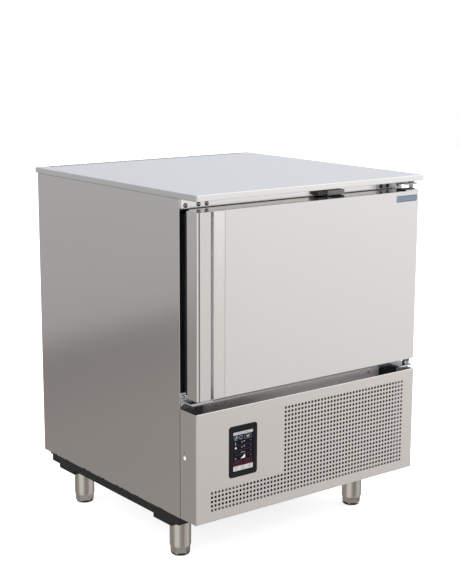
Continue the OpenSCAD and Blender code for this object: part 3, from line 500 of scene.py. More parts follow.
class Mesh:
    """Collects vertices and faces in millimetres."""

    def __init__(self):
        self.v, self.f, self.mi = [], [], []
        self.mat = 0

    def add(self, verts, faces):
        o = len(self.v)
        self.v += [tuple(p) for p in verts]
        self.f += [tuple(i + o for i in f) for f in faces]
        self.mi += [self.mat] * len(faces)

    def loops(self, rings, closed=True, close_tube=False, cap0=False, cap1=False):
        """Joins rings of equal length with quads."""
        n = len(rings[0])
        v = [p for r in rings for p in r]
        f = []
        m = len(rings)
        for k in range(m if close_tube else m - 1):
            a, b = k * n, ((k + 1) % m) * n
            for i in range(n if closed else n - 1):
                j = (i + 1) % n
                f.append((a + i, a + j, b + j, b + i))
        if cap0:
            f.append(tuple(reversed(range(n))))
        if cap1:
            f.append(tuple(range((m - 1) * n, m * n)))
        self.add(v, f)

    def lathe(self, prof, place, n=48, closed=False):
        """Turns (radius, height) points round an axis; place(x, y, h) gives the spot. A third value of 6 makes that ring hexagonal."""
        rings = []
        for p in prof:
            ring = []
            for i in range(n):
                a = 2 * math.pi * i / n
                r = p[0]
                if len(p) > 2 and p[2] == 6:
                    r = r / math.cos((a + math.pi / 6) % (math.pi / 3) - math.pi / 6)
                ring.append(place(r * math.cos(a), r * math.sin(a), p[1]))
            rings.append(ring)
        self.loops(rings, True, closed, not closed and prof[0][0] > 0.02, not closed and prof[-1][0] > 0.02)

    def plate(self, outer, holes, to3d, dips=0.0):
        """A flat sheet face with holes; dips rolls each hole's rim inwards by that much."""
        pts, edges, polys, sink = [], [], [], []

        def loop(poly):
            o = len(pts)
            pts.extend(poly)
            edges.extend([(o + i, o + (i + 1) % len(poly)) for i in range(len(poly))])
            polys.append(poly)

        loop(outer)
        rims = []
        for h in holes:
            if dips > 0:
                c = (sum(p[0] for p in h) / len(h), sum(p[1] for p in h) / len(h))
                grown = []
                for p in h:
                    d = math.hypot(p[0] - c[0], p[1] - c[1])
                    k = (d + 0.3) / d
                    grown.append((c[0] + (p[0] - c[0]) * k, c[1] + (p[1] - c[1]) * k))
                loop(grown)
                rims.append((grown, h))
            else:
                loop(h)
        vs, _, fs, *_ = delaunay_2d_cdt([Vector(p) for p in pts], edges, [], 0, 1e-7)
        vv = np.array([(p.x, p.y) for p in vs])
        ff = np.array([tuple(f) for f in fs])
        cc = vv[ff].mean(axis=1)
        keep = inside(cc, polys[0])
        for poly in polys[1:]:
            a = np.array(poly)
            lo, hi = a.min(0), a.max(0)
            near = np.where((cc[:, 0] > lo[0]) & (cc[:, 0] < hi[0]) & (cc[:, 1] > lo[1]) & (cc[:, 1] < hi[1]))[0]
            if len(near):
                keep[near[inside(cc[near], poly)]] = False
        self.add([to3d(p[0], p[1], 0) for p in vv], [tuple(int(i) for i in f) for f in ff[keep]])
        for grown, h in rims:
            self.loops([[to3d(p[0], p[1], 0) for p in grown], [to3d(p[0], p[1], dips) for p in h]])

    def slab(self, outline, z0, z1, r, place, n=3):
        """A solid plate of that outline with its rims rounded to r."""
        rings = []
        for k in range(n + 1):
            a = math.pi / 2 * k / n
            rings.append([place(x, y, z0 + r * (1 - math.cos(a))) for x, y in inset(outline, r * (1 - math.sin(a)))])
        for k in range(n + 1):
            a = math.pi / 2 * (n - k) / n
            rings.append([place(x, y, z1 - r * (1 - math.cos(a))) for x, y in inset(outline, r * (1 - math.sin(a)))])
        self.loops(rings, True, False, True, True)


def inside(points, poly):
    """Which points lie in the polygon."""
    x, y = points[:, 0], points[:, 1]
    res = np.zeros(len(points), bool)
    n = len(poly)
    for i in range(n):
        x0, y0 = poly[i]
        x1, y1 = poly[(i + 1) % n]
        if y0 == y1:
            continue
        hit = ((y0 > y) != (y1 > y)) & (x < (x1 - x0) * (y - y0) / (y1 - y0) + x0)
        res ^= hit
    return res


def inset(poly, d, closed=True):
    """Moves each point of a polygon inwards by d along the mean normal of its two sides (anticlockwise polygon)."""
    if abs(d) < 1e-9:
        return list(poly)
    out = []
    n = len(poly)
    for i in range(n):
        p = Vector(poly[i])
        a, b = Vector(poly[i - 1]), Vector(poly[(i + 1) % n])
        if not closed and i == 0:
            a = p - (b - p)
        if not closed and i == n - 1:
            b = p + (p - a)
        e0, e1 = (p - a).normalized(), (b - p).normalized()
        n0, n1 = Vector((-e0.y, e0.x)), Vector((-e1.y, e1.x))
        m = n0 + n1
        if m.length < 1e-6:
            m = n0
        m.normalize()
        out.append(tuple(p + m * (d / max(0.35, m.dot(n0)))))
    return out


def even_normals(ob, sharp):
    """Smooth shading that leaves the flat faces beside a bend truly flat."""
    ob.data.shade_smooth()
    ob.data.set_sharp_from_angle(angle=math.radians(sharp))
    w = ob.modifiers.new("even", "WEIGHTED_NORMAL")
    w.mode = "FACE_AREA"
    w.weight = 50
    w.keep_sharp = True
    dg = bpy.context.evaluated_depsgraph_get()
    old, name = ob.data, ob.data.name
    fresh = bpy.data.meshes.new_from_object(ob.evaluated_get(dg))
    ob.modifiers.clear()
    ob.data = fresh
    bpy.data.meshes.remove(old)
    ob.data.name = name


def make(name, mesh, body, mats, slot=None, repl=(), solid=0.0, ref=None, sharp=32.0, merge=0.002, bevel=0.0, bevel_angle=50.0, inner=0, rim=0):
    """Makes the object: merges doubles, turns the faces outwards, gives a sheet its thickness, smooths, and puts it on its body."""
    me = bpy.data.meshes.new(name)
    me.from_pydata([(x * 0.001, y * 0.001, z * 0.001) for x, y, z in mesh.v], [], mesh.f)
    mats = mats if isinstance(mats, (list, tuple)) else [mats]
    for m in mats:
        me.materials.append(m)
    me.polygons.foreach_set("material_index", mesh.mi)
    bm = bmesh.new()
    bm.from_mesh(me)
    bmesh.ops.remove_doubles(bm, verts=bm.verts, dist=merge * 0.001)
    bmesh.ops.dissolve_degenerate(bm, edges=bm.edges, dist=1e-7)
    bmesh.ops.recalc_face_normals(bm, faces=bm.faces)
    if ref is not None:
        q = Vector(ref) * 0.001
        s = sum(f.calc_area() * f.normal.dot((f.calc_center_median() - q).normalized()) for f in bm.faces)
        if s < 0:
            bmesh.ops.reverse_faces(bm, faces=bm.faces)
    bm.to_mesh(me)
    bm.free()
    ob = bpy.data.objects.new(name, me)
    scene.collection.objects.link(ob)
    if solid > 0:
        s = ob.modifiers.new("sheet", "SOLIDIFY")
        s.thickness = solid * 0.001
        s.offset = -1.0
        s.use_even_offset = True
        s.thickness_clamp = 0.0
        s.material_offset = inner
        s.material_offset_rim = rim
    if bevel > 0:
        b = ob.modifiers.new("edge", "BEVEL")
        b.width = bevel * 0.001
        b.segments = 2
        b.limit_method = "ANGLE"
        b.angle_limit = math.radians(bevel_angle)
        b.harden_normals = False
        b.use_clamp_overlap = True
    if ob.modifiers:
        dg = bpy.context.evaluated_depsgraph_get()
        fresh = bpy.data.meshes.new_from_object(ob.evaluated_get(dg))
        ob.modifiers.clear()
        ob.data = fresh
        bpy.data.meshes.remove(me)
        ob.data.name = name
    even_normals(ob, sharp)
    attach(ob, body)
    if repl:
        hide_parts(*repl)
    return ob


def softened(node, mat, width=0.4, segs=2, angle=40.0, sharp=40.0, weld=0.004):
    """A detailed copy of a machined or folded node: its flat faces joined, its edges broken to the radius of the real part."""
    src = NODES[node]
    me = src.data.copy()
    name = node + "_detail"
    me.name = name
    me.materials.clear()
    me.materials.append(mat)
    for p in me.polygons:
        p.material_index = 0
    if me.has_custom_normals:
        me.normals_split_custom_set([(0, 0, 0)] * len(me.loops))
    bm = bmesh.new()
    bm.from_mesh(me)
    bmesh.ops.remove_doubles(bm, verts=bm.verts, dist=weld * 0.001)
    bmesh.ops.dissolve_limit(bm, angle_limit=math.radians(0.6), verts=bm.verts, edges=bm.edges)
    bmesh.ops.recalc_face_normals(bm, faces=bm.faces)
    bm.to_mesh(me)
    bm.free()
    ob = bpy.data.objects.new(name, me)
    scene.collection.objects.link(ob)
    if width > 0:
        b = ob.modifiers.new("edge", "BEVEL")
        b.width = width * 0.001
        b.segments = segs
        b.limit_method = "ANGLE"
        b.angle_limit = math.radians(angle)
        b.use_clamp_overlap = True
        dg = bpy.context.evaluated_depsgraph_get()
        fresh = bpy.data.meshes.new_from_object(ob.evaluated_get(dg))
        ob.modifiers.clear()
        ob.data = fresh
        bpy.data.meshes.remove(me)
        ob.data.name = name
    even_normals(ob, sharp)
    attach(ob, BODY_OF[node])
    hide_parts(node)
    return ob


def pan(mesh, to3d, u0, u1, v0, v1, fl, r=1.3, holes=(), dips=0.0, n=5):
    """Folded sheet: a flat face with flanges. fl maps side -> (length, angle, holes, reach); reach carries the flat on past the corner relief."""
    ins = {s: (r if s in fl else 0.0) for s in "lrbt"}
    a0, a1, b0, b1 = u0 + ins["l"], u1 - ins["r"], v0 + ins["b"], v1 - ins["t"]
    mesh.plate([(a0, b0), (a1, b0), (a1, b1), (a0, b1)], holes, to3d, dips)
    for s, spec in fl.items():
        length, ang, fh, reach = (list(spec) + [(), 0.0])[:4] if len(spec) < 4 else spec
        e0, e1 = (b0, b1) if s in "lr" else (a0, a1)

        def put(k, off, w, s=s):
            # k runs along the edge, off is how far past the flat face's edge
            if s == "l":
                return to3d(a0 - off, k, w)
            if s == "r":
                return to3d(a1 + off, k, w)
            if s == "b":
                return to3d(k, b0 - off, w)
            return to3d(k, b1 + off, w)

        rings = []
        for i in range(n + 1):
            t = math.radians(ang) * i / n
            rings.append([put(e0, r * math.sin(t), r * (1 - math.cos(t))), put(e1, r * math.sin(t), r * (1 - math.cos(t)))])
        mesh.loops(rings, closed=False)
        t = math.radians(ang)
        so, sw = r * math.sin(t), r * (1 - math.cos(t))
        lf = length - r

        def flat(k, d, w, so=so, sw=sw, t=t, put=put):
            return put(k, so + d * math.cos(t) - w * math.sin(t), sw + d * math.sin(t) + w * math.cos(t))

        c0, c1 = e0 - reach, e1 + reach
        outline = [(e0, 0), (e1, 0), (e1, 0.001), (c1, 0.001), (c1, lf), (c0, lf), (c0, 0.001), (e0, 0.001)] if reach else [(e0, 0), (e1, 0), (e1, lf), (c0, lf)]
        mesh.plate(outline, fh, lambda a, b, w, flat=flat: flat(a, b, w), 0.0)


# ---------------------------------------------------------------- worktop
def worktop():
    g = Mesh()
    W, D, Z = 400.0, 407.5, 1025.0
    R, n = 2.0, 5
    holes = []
    for i in range(-23, 25):
        x = (i - 0.5) * 15
        holes.append(arc(x, 388.5 - 8.5, 4, 180, 360, 8) + arc(x, 388.5 + 8.5, 4, 0, 180, 8))
    g.plate([(-W + R, -D + R), (W - R, -D + R), (W - R, D - R), (-W + R, D - R)], holes, lambda x, y, w: (x, y, Z - w), 0.35)

    def ring(off, z, c=4):
        r = max(off, 0.0)
        x0, y0, x1, y1 = -W + R, -D + R, W - R, D - R
        pts = []
        if r < 1e-6:
            for cx, cy in ((x1 + off, y0 - off), (x1 + off, y1 + off), (x0 - off, y1 + off), (x0 - off, y0 - off)):
                pts += [(cx, cy)] * (c + 1)
        else:
            pts = rrect(x0 - r, y0 - r, x1 + r, y1 + r, r, c)
        return [(x, y, z) for x, y in pts]

    rings = [ring(R * math.sin(math.radians(a)), Z - R * (1 - math.cos(math.radians(a)))) for a in (0, 18, 36, 54, 72, 90)]
    rings += [ring(R, 1016.0), ring(R, 1009.7)]
    rings += [ring(R - 1.2 * (1 - math.cos(math.radians(a))), 1009.7 - 1.2 * math.sin(math.radians(a))) for a in (30, 60, 90)]
    rings += [ring(-0.01, 1008.5), ring(-8.0, 1008.5)]
    g.loops(rings)
    top = make("worktop_sheet", g, "cabinet", [M["worktop_steel"], M["edge_painted_light"]], "worktop_steel", ["worktop"], solid=1.2, ref=(0, 0, 1000), sharp=24)
    # front-facing edge faces take the lighter copy: painted light
    for q in top.data.polygons:
        if q.normal.y < -0.7 and q.center.y < -0.407:
            q.material_index = 1


worktop()


# ---------------------------------------------------------------- casing panels
def side(sign, node):
    g = Mesh()
    pan(g, lambda u, v, w: (sign * (395.0 - w), u, v), -325.0, 402.5, 150.0, 1007.0, {"l": (4.0, 90), "r": (15.0, 90), "b": (15.0, 90)}, r=1.2)
    ob = make(node + "_sheet", g, "cabinet", [M["panel_steel"], M["return_steel_painted_shade"]], SLOT_OF.get(node), [node], solid=0.9, ref=(0, 0, 600), sharp=24)
    # front returns take their own finish, with painted shade low down
    for q in ob.data.polygons:
        if q.center.y < -0.3239:
            q.material_index = 1


side(-1, "side_panel_left")
side(1, "side_panel_right")


def back():
    g = Mesh()
    holes = []
    for j in (0, 1):
        for i in range(-8, 9):
            x, z = i * 20 + 120, 235 + j * 110
            holes.append(arc(x, z - 42, 3, 180, 360, 6) + arc(x, z + 42, 3, 0, 180, 6))
    holes.append(circ(-300, 210, 8, 28))
    g.plate([(-394, 150), (394, 150), (394, 1006), (-394, 1006)], holes, lambda x, z, w: (x, 403.5 - w, z), 0.35)
    make("back_panel_sheet", g, "cabinet", M["galvanised"], SLOT_OF.get("back_panel"), ["back_panel"], solid=0.9, ref=(0, 0, 600), sharp=22)


back()


# ---------------------------------------------------------------- front frame and chamber
def front_frame():
    g = Mesh()
    outer = [(-391, 453), (-356, 453), (-356, 461), (-355, 461), (318, 461), (319, 461), (319, 453), (391, 453), (391, 1007), (-391, 1007)]
    hole = rrect(-336.2, 510.8, 336.2, 949.2, 9.2, 8)
    g.plate(outer, [hole], lambda x, z, w: (x, -325.0 + w, z))
    # lower lip, flared outwards
    g.loops([[(-355, -325.0 - 1.4 * (k / 5) ** 1.5, 461 - 8 * k / 5), (318, -325.0 - 1.4 * (k / 5) ** 1.5, 461 - 8 * k / 5)] for k in range(6)], closed=False)
    # rolled rim into the chamber
    prof = [(1.2 * (1 - math.cos(math.radians(a))), 1.2 * (1 - math.sin(math.radians(a)))) for a in (90, 68, 45, 22, 0)]
    rings = []
    for k, a in enumerate((0, 22.5, 45, 67.5, 90)):
        off = 1.2 * math.sin(math.radians(a))
        dep = 1.2 * (1 - math.cos(math.radians(a)))
        rings.append([(x, -325.0 + dep, z) for x, z in rrect(-336.2 + off, 510.8 + off, 336.2 - off, 949.2 - off, 9.2 - off, 8)])
    rings.append([(x, -318.0, z) for x, z in rrect(-335.0, 512.0, 335.0, 948.0, 8.0, 8)])
    g.loops(rings)
    ob = make("face_frame_sheet", g, "cabinet", [M["frame_steel_painted_shadow"], M["lip_painted_shade"]], SLOT_OF.get("face_frame"), ["face_frame"], solid=0.8, ref=(0, 100, 400), sharp=24)
    # the flared lower lip takes the dark copy of the frame steel: painted shade
    for q in ob.data.polygons:
        if q.center.z < 0.46095 and -0.3551 < q.center.x < 0.3181 and q.center.y < -0.3249:
            q.material_index = 1


front_frame()


def chamber():
    """Liner: straight walls from the front rim, coved corners all round the back wall."""
    g = Mesh()
    y0, y1 = -318.4, 303.0
    x, z0, z1, r = 335.0, 512.0, 948.0, 8.0
    rings = [[(a, y0, b) for a, b in rrect(-x, z0, x, z1, r, 8)], [(a, -200, b) for a, b in rrect(-x, z0, x, z1, r, 8)], [(a, y1 - 14, b) for a, b in rrect(-x, z0, x, z1, r, 8)]]
    for k in (22.5, 45, 67.5, 90):
        o = 13.9 * (1 - math.cos(math.radians(k)))
        rings.append([(a, y1 - 14 + 14 * math.sin(math.radians(k)), b) for a, b in rrect(-x + o, z0 + o, x - o, z1 - o, max(r - o, 0.5), 8)])
    g.loops(rings)
    last = [(p[0], p[2]) for p in rings[-1]]
    holes = [circ(250, 560, 9, 20), circ(225, 560, 9, 20), circ(-290, 700, 9, 20)]
    g.plate(last, holes, lambda u, v, w: (u, y1 + w, v))
    make("inner_liner_sheet", g, "cabinet", M["liner_steel"], SLOT_OF.get("inner_liner"), ["inner_liner"], solid=0.0, ref=None, sharp=30)


chamber()


# ---------------------------------------------------------------- service panel
def service():
    g = Mesh()
    holes = []
    for i in range(59):
        for j in range(21):
            if i >= 21 or j >= 16:
                holes.append(circ(-342.9 + i * 11.9, 421 - j * 11.9, 3.7, 16, 0.2))
    holes.append([(-280, 266), (-200, 266), (-200, 394), (-280, 394)])
    side_holes = [circ(324.7, -345.6 + 396.0 - 1.5, 4.5, 20), circ(339.7, -345 + 396.0 - 1.5, 2.0, 16)]
    pan(g, lambda u, v, w: (u, -396.0 + w, v), -394.5, 394.5, 151.4, 454.0,
        {"l": (70.6, 90, side_holes, 1.45), "r": (70.6, 90, (), 1.45), "b": (69.6, 90), "t": (5.0, 180)}, r=1.5, holes=holes, dips=0.22)
    for s in (-1, 1):
        a, b = sorted((s * 322.0, s * 393.2))
        g.plate([(a, 427), (b, 427), (b, 452), (a, 452)], [circ(s * 345.0, 446.5, 2.4, 16)], lambda u, v, w: (u, -326.2 + w, v))
    # inner faces take panel_inside; the cut rims and hole walls take the near-black painted shade
    ob = make("service_panel_sheet", g, "cabinet", [M["front_steel"], M["panel_inside"], M["hole_wall_painted_shade"], M["hem_painted_highlight"], M["tab_painted_shade"]], SLOT_OF.get("service_panel"), ["service_panel"], solid=1.1, ref=(0, -300, 300), sharp=20, inner=1, rim=2)
    for q in ob.data.polygons:
        c = q.center
        # top hem: painted highlight
        if c.z > 0.4523 and c.y < -0.39 and abs(c.x) < 0.3935:
            q.material_index = 3
        # right fixing tab: painted shade
        elif c.y > -0.3275 and c.z > 0.4265 and c.x > 0.3215:
            q.material_index = 4


service()


# ---------------------------------------------------------------- door
def door_pan():
    g = Mesh()
    z0, z1, R = 487.0, 980.0, 0.8
    path = bend([(381.0, -352.0), (390.0, -352.0), (390.0, -398.0), (-303.0, -398.0), (-325.0, -378.0), (-325.0, -357.0), (-388.6, -357.0), (-388.6, -352.0), (-380.0, -352.0)],
                [1.4, 1.8, 1.8, 1.4, 1.8, 1.4, 1.4], 5)
    path = list(reversed(path))          # anticlockwise seen from above: left rear, round the front, right rear

    def ring(off, z):
        q = inset(path, off, closed=False)
        q[0], q[-1] = (path[0][0], path[0][1]), (path[-1][0], path[-1][1])
        return [(x, y, z) for x, y in q]

    rings = []
    for k in range(5):
        a = math.radians(90 * k / 4)
        rings.append(ring(R * (1 - math.sin(a)), z0 + R * (1 - math.cos(a))))
    for k in range(5):
        a = math.radians(90 - 90 * k / 4)
        rings.append(ring(R * (1 - math.sin(a)), z1 - R * (1 - math.cos(a))))
    g.loops(rings, closed=False)
    for r, z in ((rings[0], z0), (rings[-1], z1)):
        outline = [(p[0], p[1]) for p in r]
        g.plate(outline, [circ(380, -377, 8.7, 32)], lambda u, v, w, z=z: (u, v, z))
    # top return, reaching back over the inner frame
    g.plate([(-380, -352), (381, -352), (388, -351.4), (388, -333), (-369, -333), (-384, -351.4)], [], lambda u, v, w: (u, v, 980.0))
    # rear flange all round, on which the inner frame sits
    g.plate([(-380, 488), (381, 488), (381, 979), (-380, 979)], [[(-376, 499), (376, 499), (376, 968), (-376, 968)]], lambda u, v, w: (u, -352.0, v))
    pan_ob = make("door_skin_pan", g, "door", [M["door_steel"], M["finger_recess_painted_light"], M["slant_painted_light"]], SLOT_OF.get("door_skin"), ["door_skin"], solid=0.9, ref=(0, -370, 733), sharp=20)
    for q in pan_ob.data.polygons:
        x, y, z = q.center * 1000
        # recess wall: the paler copy, painted light
        if -389.0 < x < -323.0 and -378.6 < y < -355.0 and 489.0 < z < 978.0:
            q.material_index = 1
        # slanted face: its pinker, lighter-topped copy, painted light and reflection
        elif -324.9 < x < -303.6 and -397.6 < y < -378.0 and 489.0 < z < 978.0 and abs(q.normal.x) > 0.5 and abs(q.normal.y) > 0.5:
            q.material_index = 2


door_pan()


def handle():
    g = Mesh()
    z0, z1, R = 487.0, 980.0, 1.0
    path = bend([(-390.0, -351.6), (-390.0, -398.0), (-348.0, -398.0), (-348.0, -386.0)], [8.0, 1.4], 9)

    def ring(off, z):
        q = inset(path, off, closed=False)
        return [(x, y, z) for x, y in q]

    rings = []
    for k in range(4):
        a = math.radians(90 * k / 3)
        rings.append(ring(R * (1 - math.sin(a)), z0 + R * (1 - math.cos(a))))
    for k in range(4):
        a = math.radians(90 - 90 * k / 3)
        rings.append(ring(R * (1 - math.sin(a)), z1 - R * (1 - math.cos(a))))
    g.loops(rings, closed=False)
    make("door_handle_grip", g, "door", M["handle_steel"], SLOT_OF.get("door_handle"), ["door_handle"], solid=1.2, ref=(-370, -370, 733), sharp=20)
    # end caps that close the finger recess
    c = Mesh()
    edge = [(-388.7, -357.2), (-388.7, -390.0)] + arc(-382, -390, 6.7, 180, 270, 6)[1:] + [(-349.3, -396.7), (-349.3, -386.2), (-347.9, -386.2), (-347.9, -397.9), (-303.3, -397.9), (-325.15, -378.05), (-325.15, -357.2)]
    for a, b in ((487.15, 488.35), (978.65, 979.85)):
        c.slab(edge, a, b, 0.3, lambda x, y, z: (x, y, z), 2)
    make("door_handle_caps", c, "door", M["handle_steel"], SLOT_OF.get("door_handle"), sharp=30)


handle()


def inner_door():
    """Black moulded frame round the back of the door, with a step, a gasket groove and ribs on its rim."""
    g = Mesh()
    hw, hh, cz = 386.0, 243.5, 733.5

    def ring(off, y, r=8.0):
        return [(x, y, z + cz) for x, z in rrect(-hw + off, -hh + off, hw - off, hh - off, max(r - off * 0.3, 2.0), 5)]

    prof = [(0.3, -351.9), (0.0, -351.0), (0.0, -346.4), (0.8, -346.0), (0.8, -345.2), (0.0, -344.8), (0.0, -340.2), (0.4, -338.8), (1.4, -338.05),
            (11.8, -338.05), (12.6, -338.6), (13.4, -338.6), (14.2, -338.05), (31.0, -338.05), (31.6, -338.9), (33.4, -338.9), (34.0, -338.2), (60.0, -338.2)]
    g.loops([ring(o, y) for o, y in prof], cap1=True)
    make("door_liner_frame", g, "door", M["dark_plastic"], SLOT_OF.get("door_liner"), ["door_liner"], solid=0.0, ref=(0, -360, 733), sharp=28)
    p = Mesh()

    def pr(off, y, r=5.0):
        return [(x, y, z + 732.0) for x, z in rrect(-352 + off, -220 + off, 352 - off, 220 - off, max(r - off * 0.5, 1.5), 5)]

    prof = [(0.0, -338.0), (0.0, -337.4), (0.25, -337.0), (0.8, -336.82), (22.0, -336.82), (23.4, -337.1), (25.0, -337.9), (31.0, -337.9), (32.6, -337.1), (34.0, -336.82)]
    p.loops([pr(o, y) for o, y in prof], cap1=True, cap0=True)
    make("door_inner_sheet", p, "door", M["liner_steel"], SLOT_OF.get("door_inner_panel"), ["door_inner_panel"], sharp=20)
    # gasket: anchored foot, bellows, magnet bar
    s = Mesh()
    prof = [(0.4, -338.0), (0.2, -337.0), (1.2, -336.4), (3.4, -335.6), (3.6, -335.0), (1.4, -333.8), (0.5, -332.4), (0.3, -330.4), (0.9, -328.8), (2.2, -328.2), (0.9, -327.6), (0.6, -326.0), (1.3, -325.1),
            (9.0, -325.03), (16.7, -325.1), (17.4, -326.0), (17.1, -327.6), (15.8, -328.2), (17.1, -328.8), (17.7, -330.4), (17.5, -332.4), (16.6, -333.8), (14.4, -335.0), (14.6, -335.6), (16.8, -336.4), (17.8, -337.0), (17.6, -338.0)]
    s.loops([[(x, y, z + 732.0) for x, z in rrect(-372 + o, -240 + o, 372 - o, 240 - o, max(6.0 - o * 0.2, 2.0), 4)] for o, y in prof], close_tube=True)
    make("door_gasket_bellows", s, "door", M["gasket"], SLOT_OF.get("door_gasket"), ["door_gasket"], sharp=50)


inner_door()


# ---------------------------------------------------------------- display
def display():
    g = Mesh()
    cx, cz, hw, hh = -240.0, 330.0, 47.0, 71.0

    def ring(off, y, r=8.0):
        return [(x + cx, y, z + cz) for x, z in rrect(-hw + off, -hh + off, hw - off, hh - off, max(r - off, 0.6), 6)]

    def win(grow, y):
        return [(x + cx, y, z + cz - 0.5) for x, z in rrect(-33.5 - grow, -54 - grow, 33.5 + grow, 54 + grow, 0.6, 6)]

    rings = [ring(0.0, -396.02), ring(0.0, -396.9), ring(0.16, -397.4), ring(0.55, -397.72), ring(1.3, -397.8), ring(5.0, -397.8)]
    rings += [win(0.9, -397.8), win(0.5, -397.7), win(0.15, -397.3), win(0.0, -396.6), win(0.0, -396.0)]
    g.loops(rings)
    # rear collar through the sheet
    g.loops([[(x, -396.02, z) for x, z in rrect(-286.8, 259.2, -193.2, 400.8, 7.8, 6)], [(x, -396.02, z) for x, z in rrect(-279.5, 266.5, -200.5, 393.5, 0.6, 6)], [(x, -390.0, z) for x, z in rrect(-279.5, 266.5, -200.5, 393.5, 0.6, 6)]])
    make("display_bezel_frame", g, "cabinet", M["bezel_plastic"], SLOT_OF.get("display_bezel"), ["display_bezel"], ref=(-240, -380, 330), sharp=40)

    glass = Mat("display_dark_glass", srgb("0E0816"), 0.0, 0.10, 0.06, 0.05, 0.04)
    a = glass.noise(35, None, 4, 0.6)
    b = glass.noise(1400, None, 2, 0.5)
    glass.color(glass.mix(glass.ramp(a, (0.3, 0.0), (0.75, 1.0)), srgb("0C0713"), srgb("110B18")))
    glass.rough(glass.ramp(a, (0.35, 0.05), (0.75, 0.14)))
    glass.normal(glass.bump(b, 0.01, 0.0001))
    s = Mesh()
    s.slab(rrect(-275.4, 273.6, -204.6, 385.4, 0.5, 3), 0.0, 2.0, 0.15, lambda x, z, w: (x, -394.0 - w, z), 2)
    make("display_glass_pane", s, "cabinet", glass.m, SLOT_OF.get("display_glass"), ["display_glass"], sharp=40)

    # picture on the glass: plain shapes only
    X0, X1, Z0, Z1 = -273.3, -206.7, 275.7, 383.3
    yf = -396.0

    def at(s_, t_):
        return (X0 + (X1 - X0) * s_, Z1 + (Z0 - Z1) * t_)

    looks = {
        "strip": lit("screen_light_grey", srgb("C6C6C6"), 0.70),
        "strip2": lit("screen_pale_grey", srgb("CFCFCF"), 0.72),
        "grey": lit("screen_mid_grey", srgb("8E9090"), 0.6),
        "dim": lit("screen_dim_grey", srgb("4A4450"), 1.0),
        "teal": lit("screen_teal", srgb("0F6385"), 0.95),
        "orange": lit("screen_orange", srgb("DD8A14"), 0.95),
        "red": lit("screen_red", srgb("7C1322"), 0.95),
        "white": lit("screen_white", srgb("E6E6E6"), 0.9),
        "mark": lit("screen_mark_grey", srgb("A09DA6"), 0.7),
        "steel_blue": lit("screen_slate", srgb("2F4A55"), 0.8),
    }
    shapes = {k: Mesh() for k in looks}

    def patch(key, poly, lift=0.10):
        pts = [at(*p) for p in poly]
        area = sum(pts[i][0] * pts[(i + 1) % len(pts)][1] - pts[(i + 1) % len(pts)][0] * pts[i][1] for i in range(len(pts)))
        if area < 0:
            pts.reverse()
        n = len(pts)
        shapes[key].add([(x, yf + 0.02, z) for x, z in pts] + [(x, yf - lift, z) for x, z in pts],
                        [tuple(range(n, 2 * n)), tuple(reversed(range(n)))] + [(i, (i + 1) % n, n + (i + 1) % n, n + i) for i in range(n)])

    def rect(s0, t0, s1, t1, r=0.02, n=3):
        k = 66.6 / 107.6
        out = []
        for cs, ct, a0 in ((s1 - r, t0 + r * k, -90), (s1 - r, t1 - r * k, 0), (s0 + r, t1 - r * k, 90), (s0 + r, t0 + r * k, 180)):
            for i in range(n + 1):
                a = math.radians(a0 + 90 * i / n)
                out.append((cs + r * math.cos(a), ct + r * k * math.sin(a)))
        return out

    def frame_of(key, s0, t0, s1, t1, w, r=0.03, lift=0.10):
        k = 66.6 / 107.6
        o, i_ = rect(s0, t0, s1, t1, r, 4), rect(s0 + w, t0 + w * k, s1 - w, t1 - w * k, max(r - w, 0.006), 4)
        m = shapes[key]
        O, I = [at(*p) for p in o], [at(*p) for p in i_]
        y = lambda pts, d: [(a_, yf - d, b_) for a_, b_ in pts]
        m.loops([y(O, -0.02), y(O, lift), y(I, lift), y(I, -0.02)], close_tube=True)

    patch("strip", rect(0.0, 0.0, 1.0, 0.072, 0.008))
    patch("strip2", rect(0.0, 0.878, 1.0, 1.0, 0.008))
    # faint plain bars in the strips
    for s0, s1 in ((0.24, 0.46), (0.52, 0.80)):
        patch("grey", rect(s0, 0.030, s1, 0.044, 0.01), 0.13)
    for s0, s1 in ((0.07, 0.24), (0.38, 0.62), (0.74, 0.93)):
        patch("grey", rect(s0, 0.905, s1, 0.915, 0.01), 0.13)
        patch("grey", rect(s0 + 0.03, 0.935, s1 - 0.03, 0.945, 0.01), 0.13)
        patch("grey", rect(s0, 0.965, s1, 0.975, 0.01), 0.13)
    # three function tiles
    frame_of("teal", 0.035, 0.085, 0.265, 0.215, 0.034, 0.06)
    frame_of("mark", 0.315, 0.095, 0.465, 0.200, 0.018, 0.05)
    frame_of("teal", 0.545, 0.085, 0.945, 0.215, 0.034, 0.06)
    patch("orange", [(0.095, 0.185), (0.115, 0.150), (0.150, 0.120), (0.205, 0.112), (0.210, 0.140), (0.175, 0.160), (0.140, 0.170), (0.120, 0.192)], 0.12)
    patch("orange", [(0.650, 0.135), (0.720, 0.128), (0.750, 0.142), (0.780, 0.126), (0.840, 0.120), (0.815, 0.155), (0.795, 0.176), (0.705, 0.182), (0.680, 0.158)], 0.12)
    patch("dim", rect(0.37, 0.125, 0.41, 0.170, 0.01), 0.12)
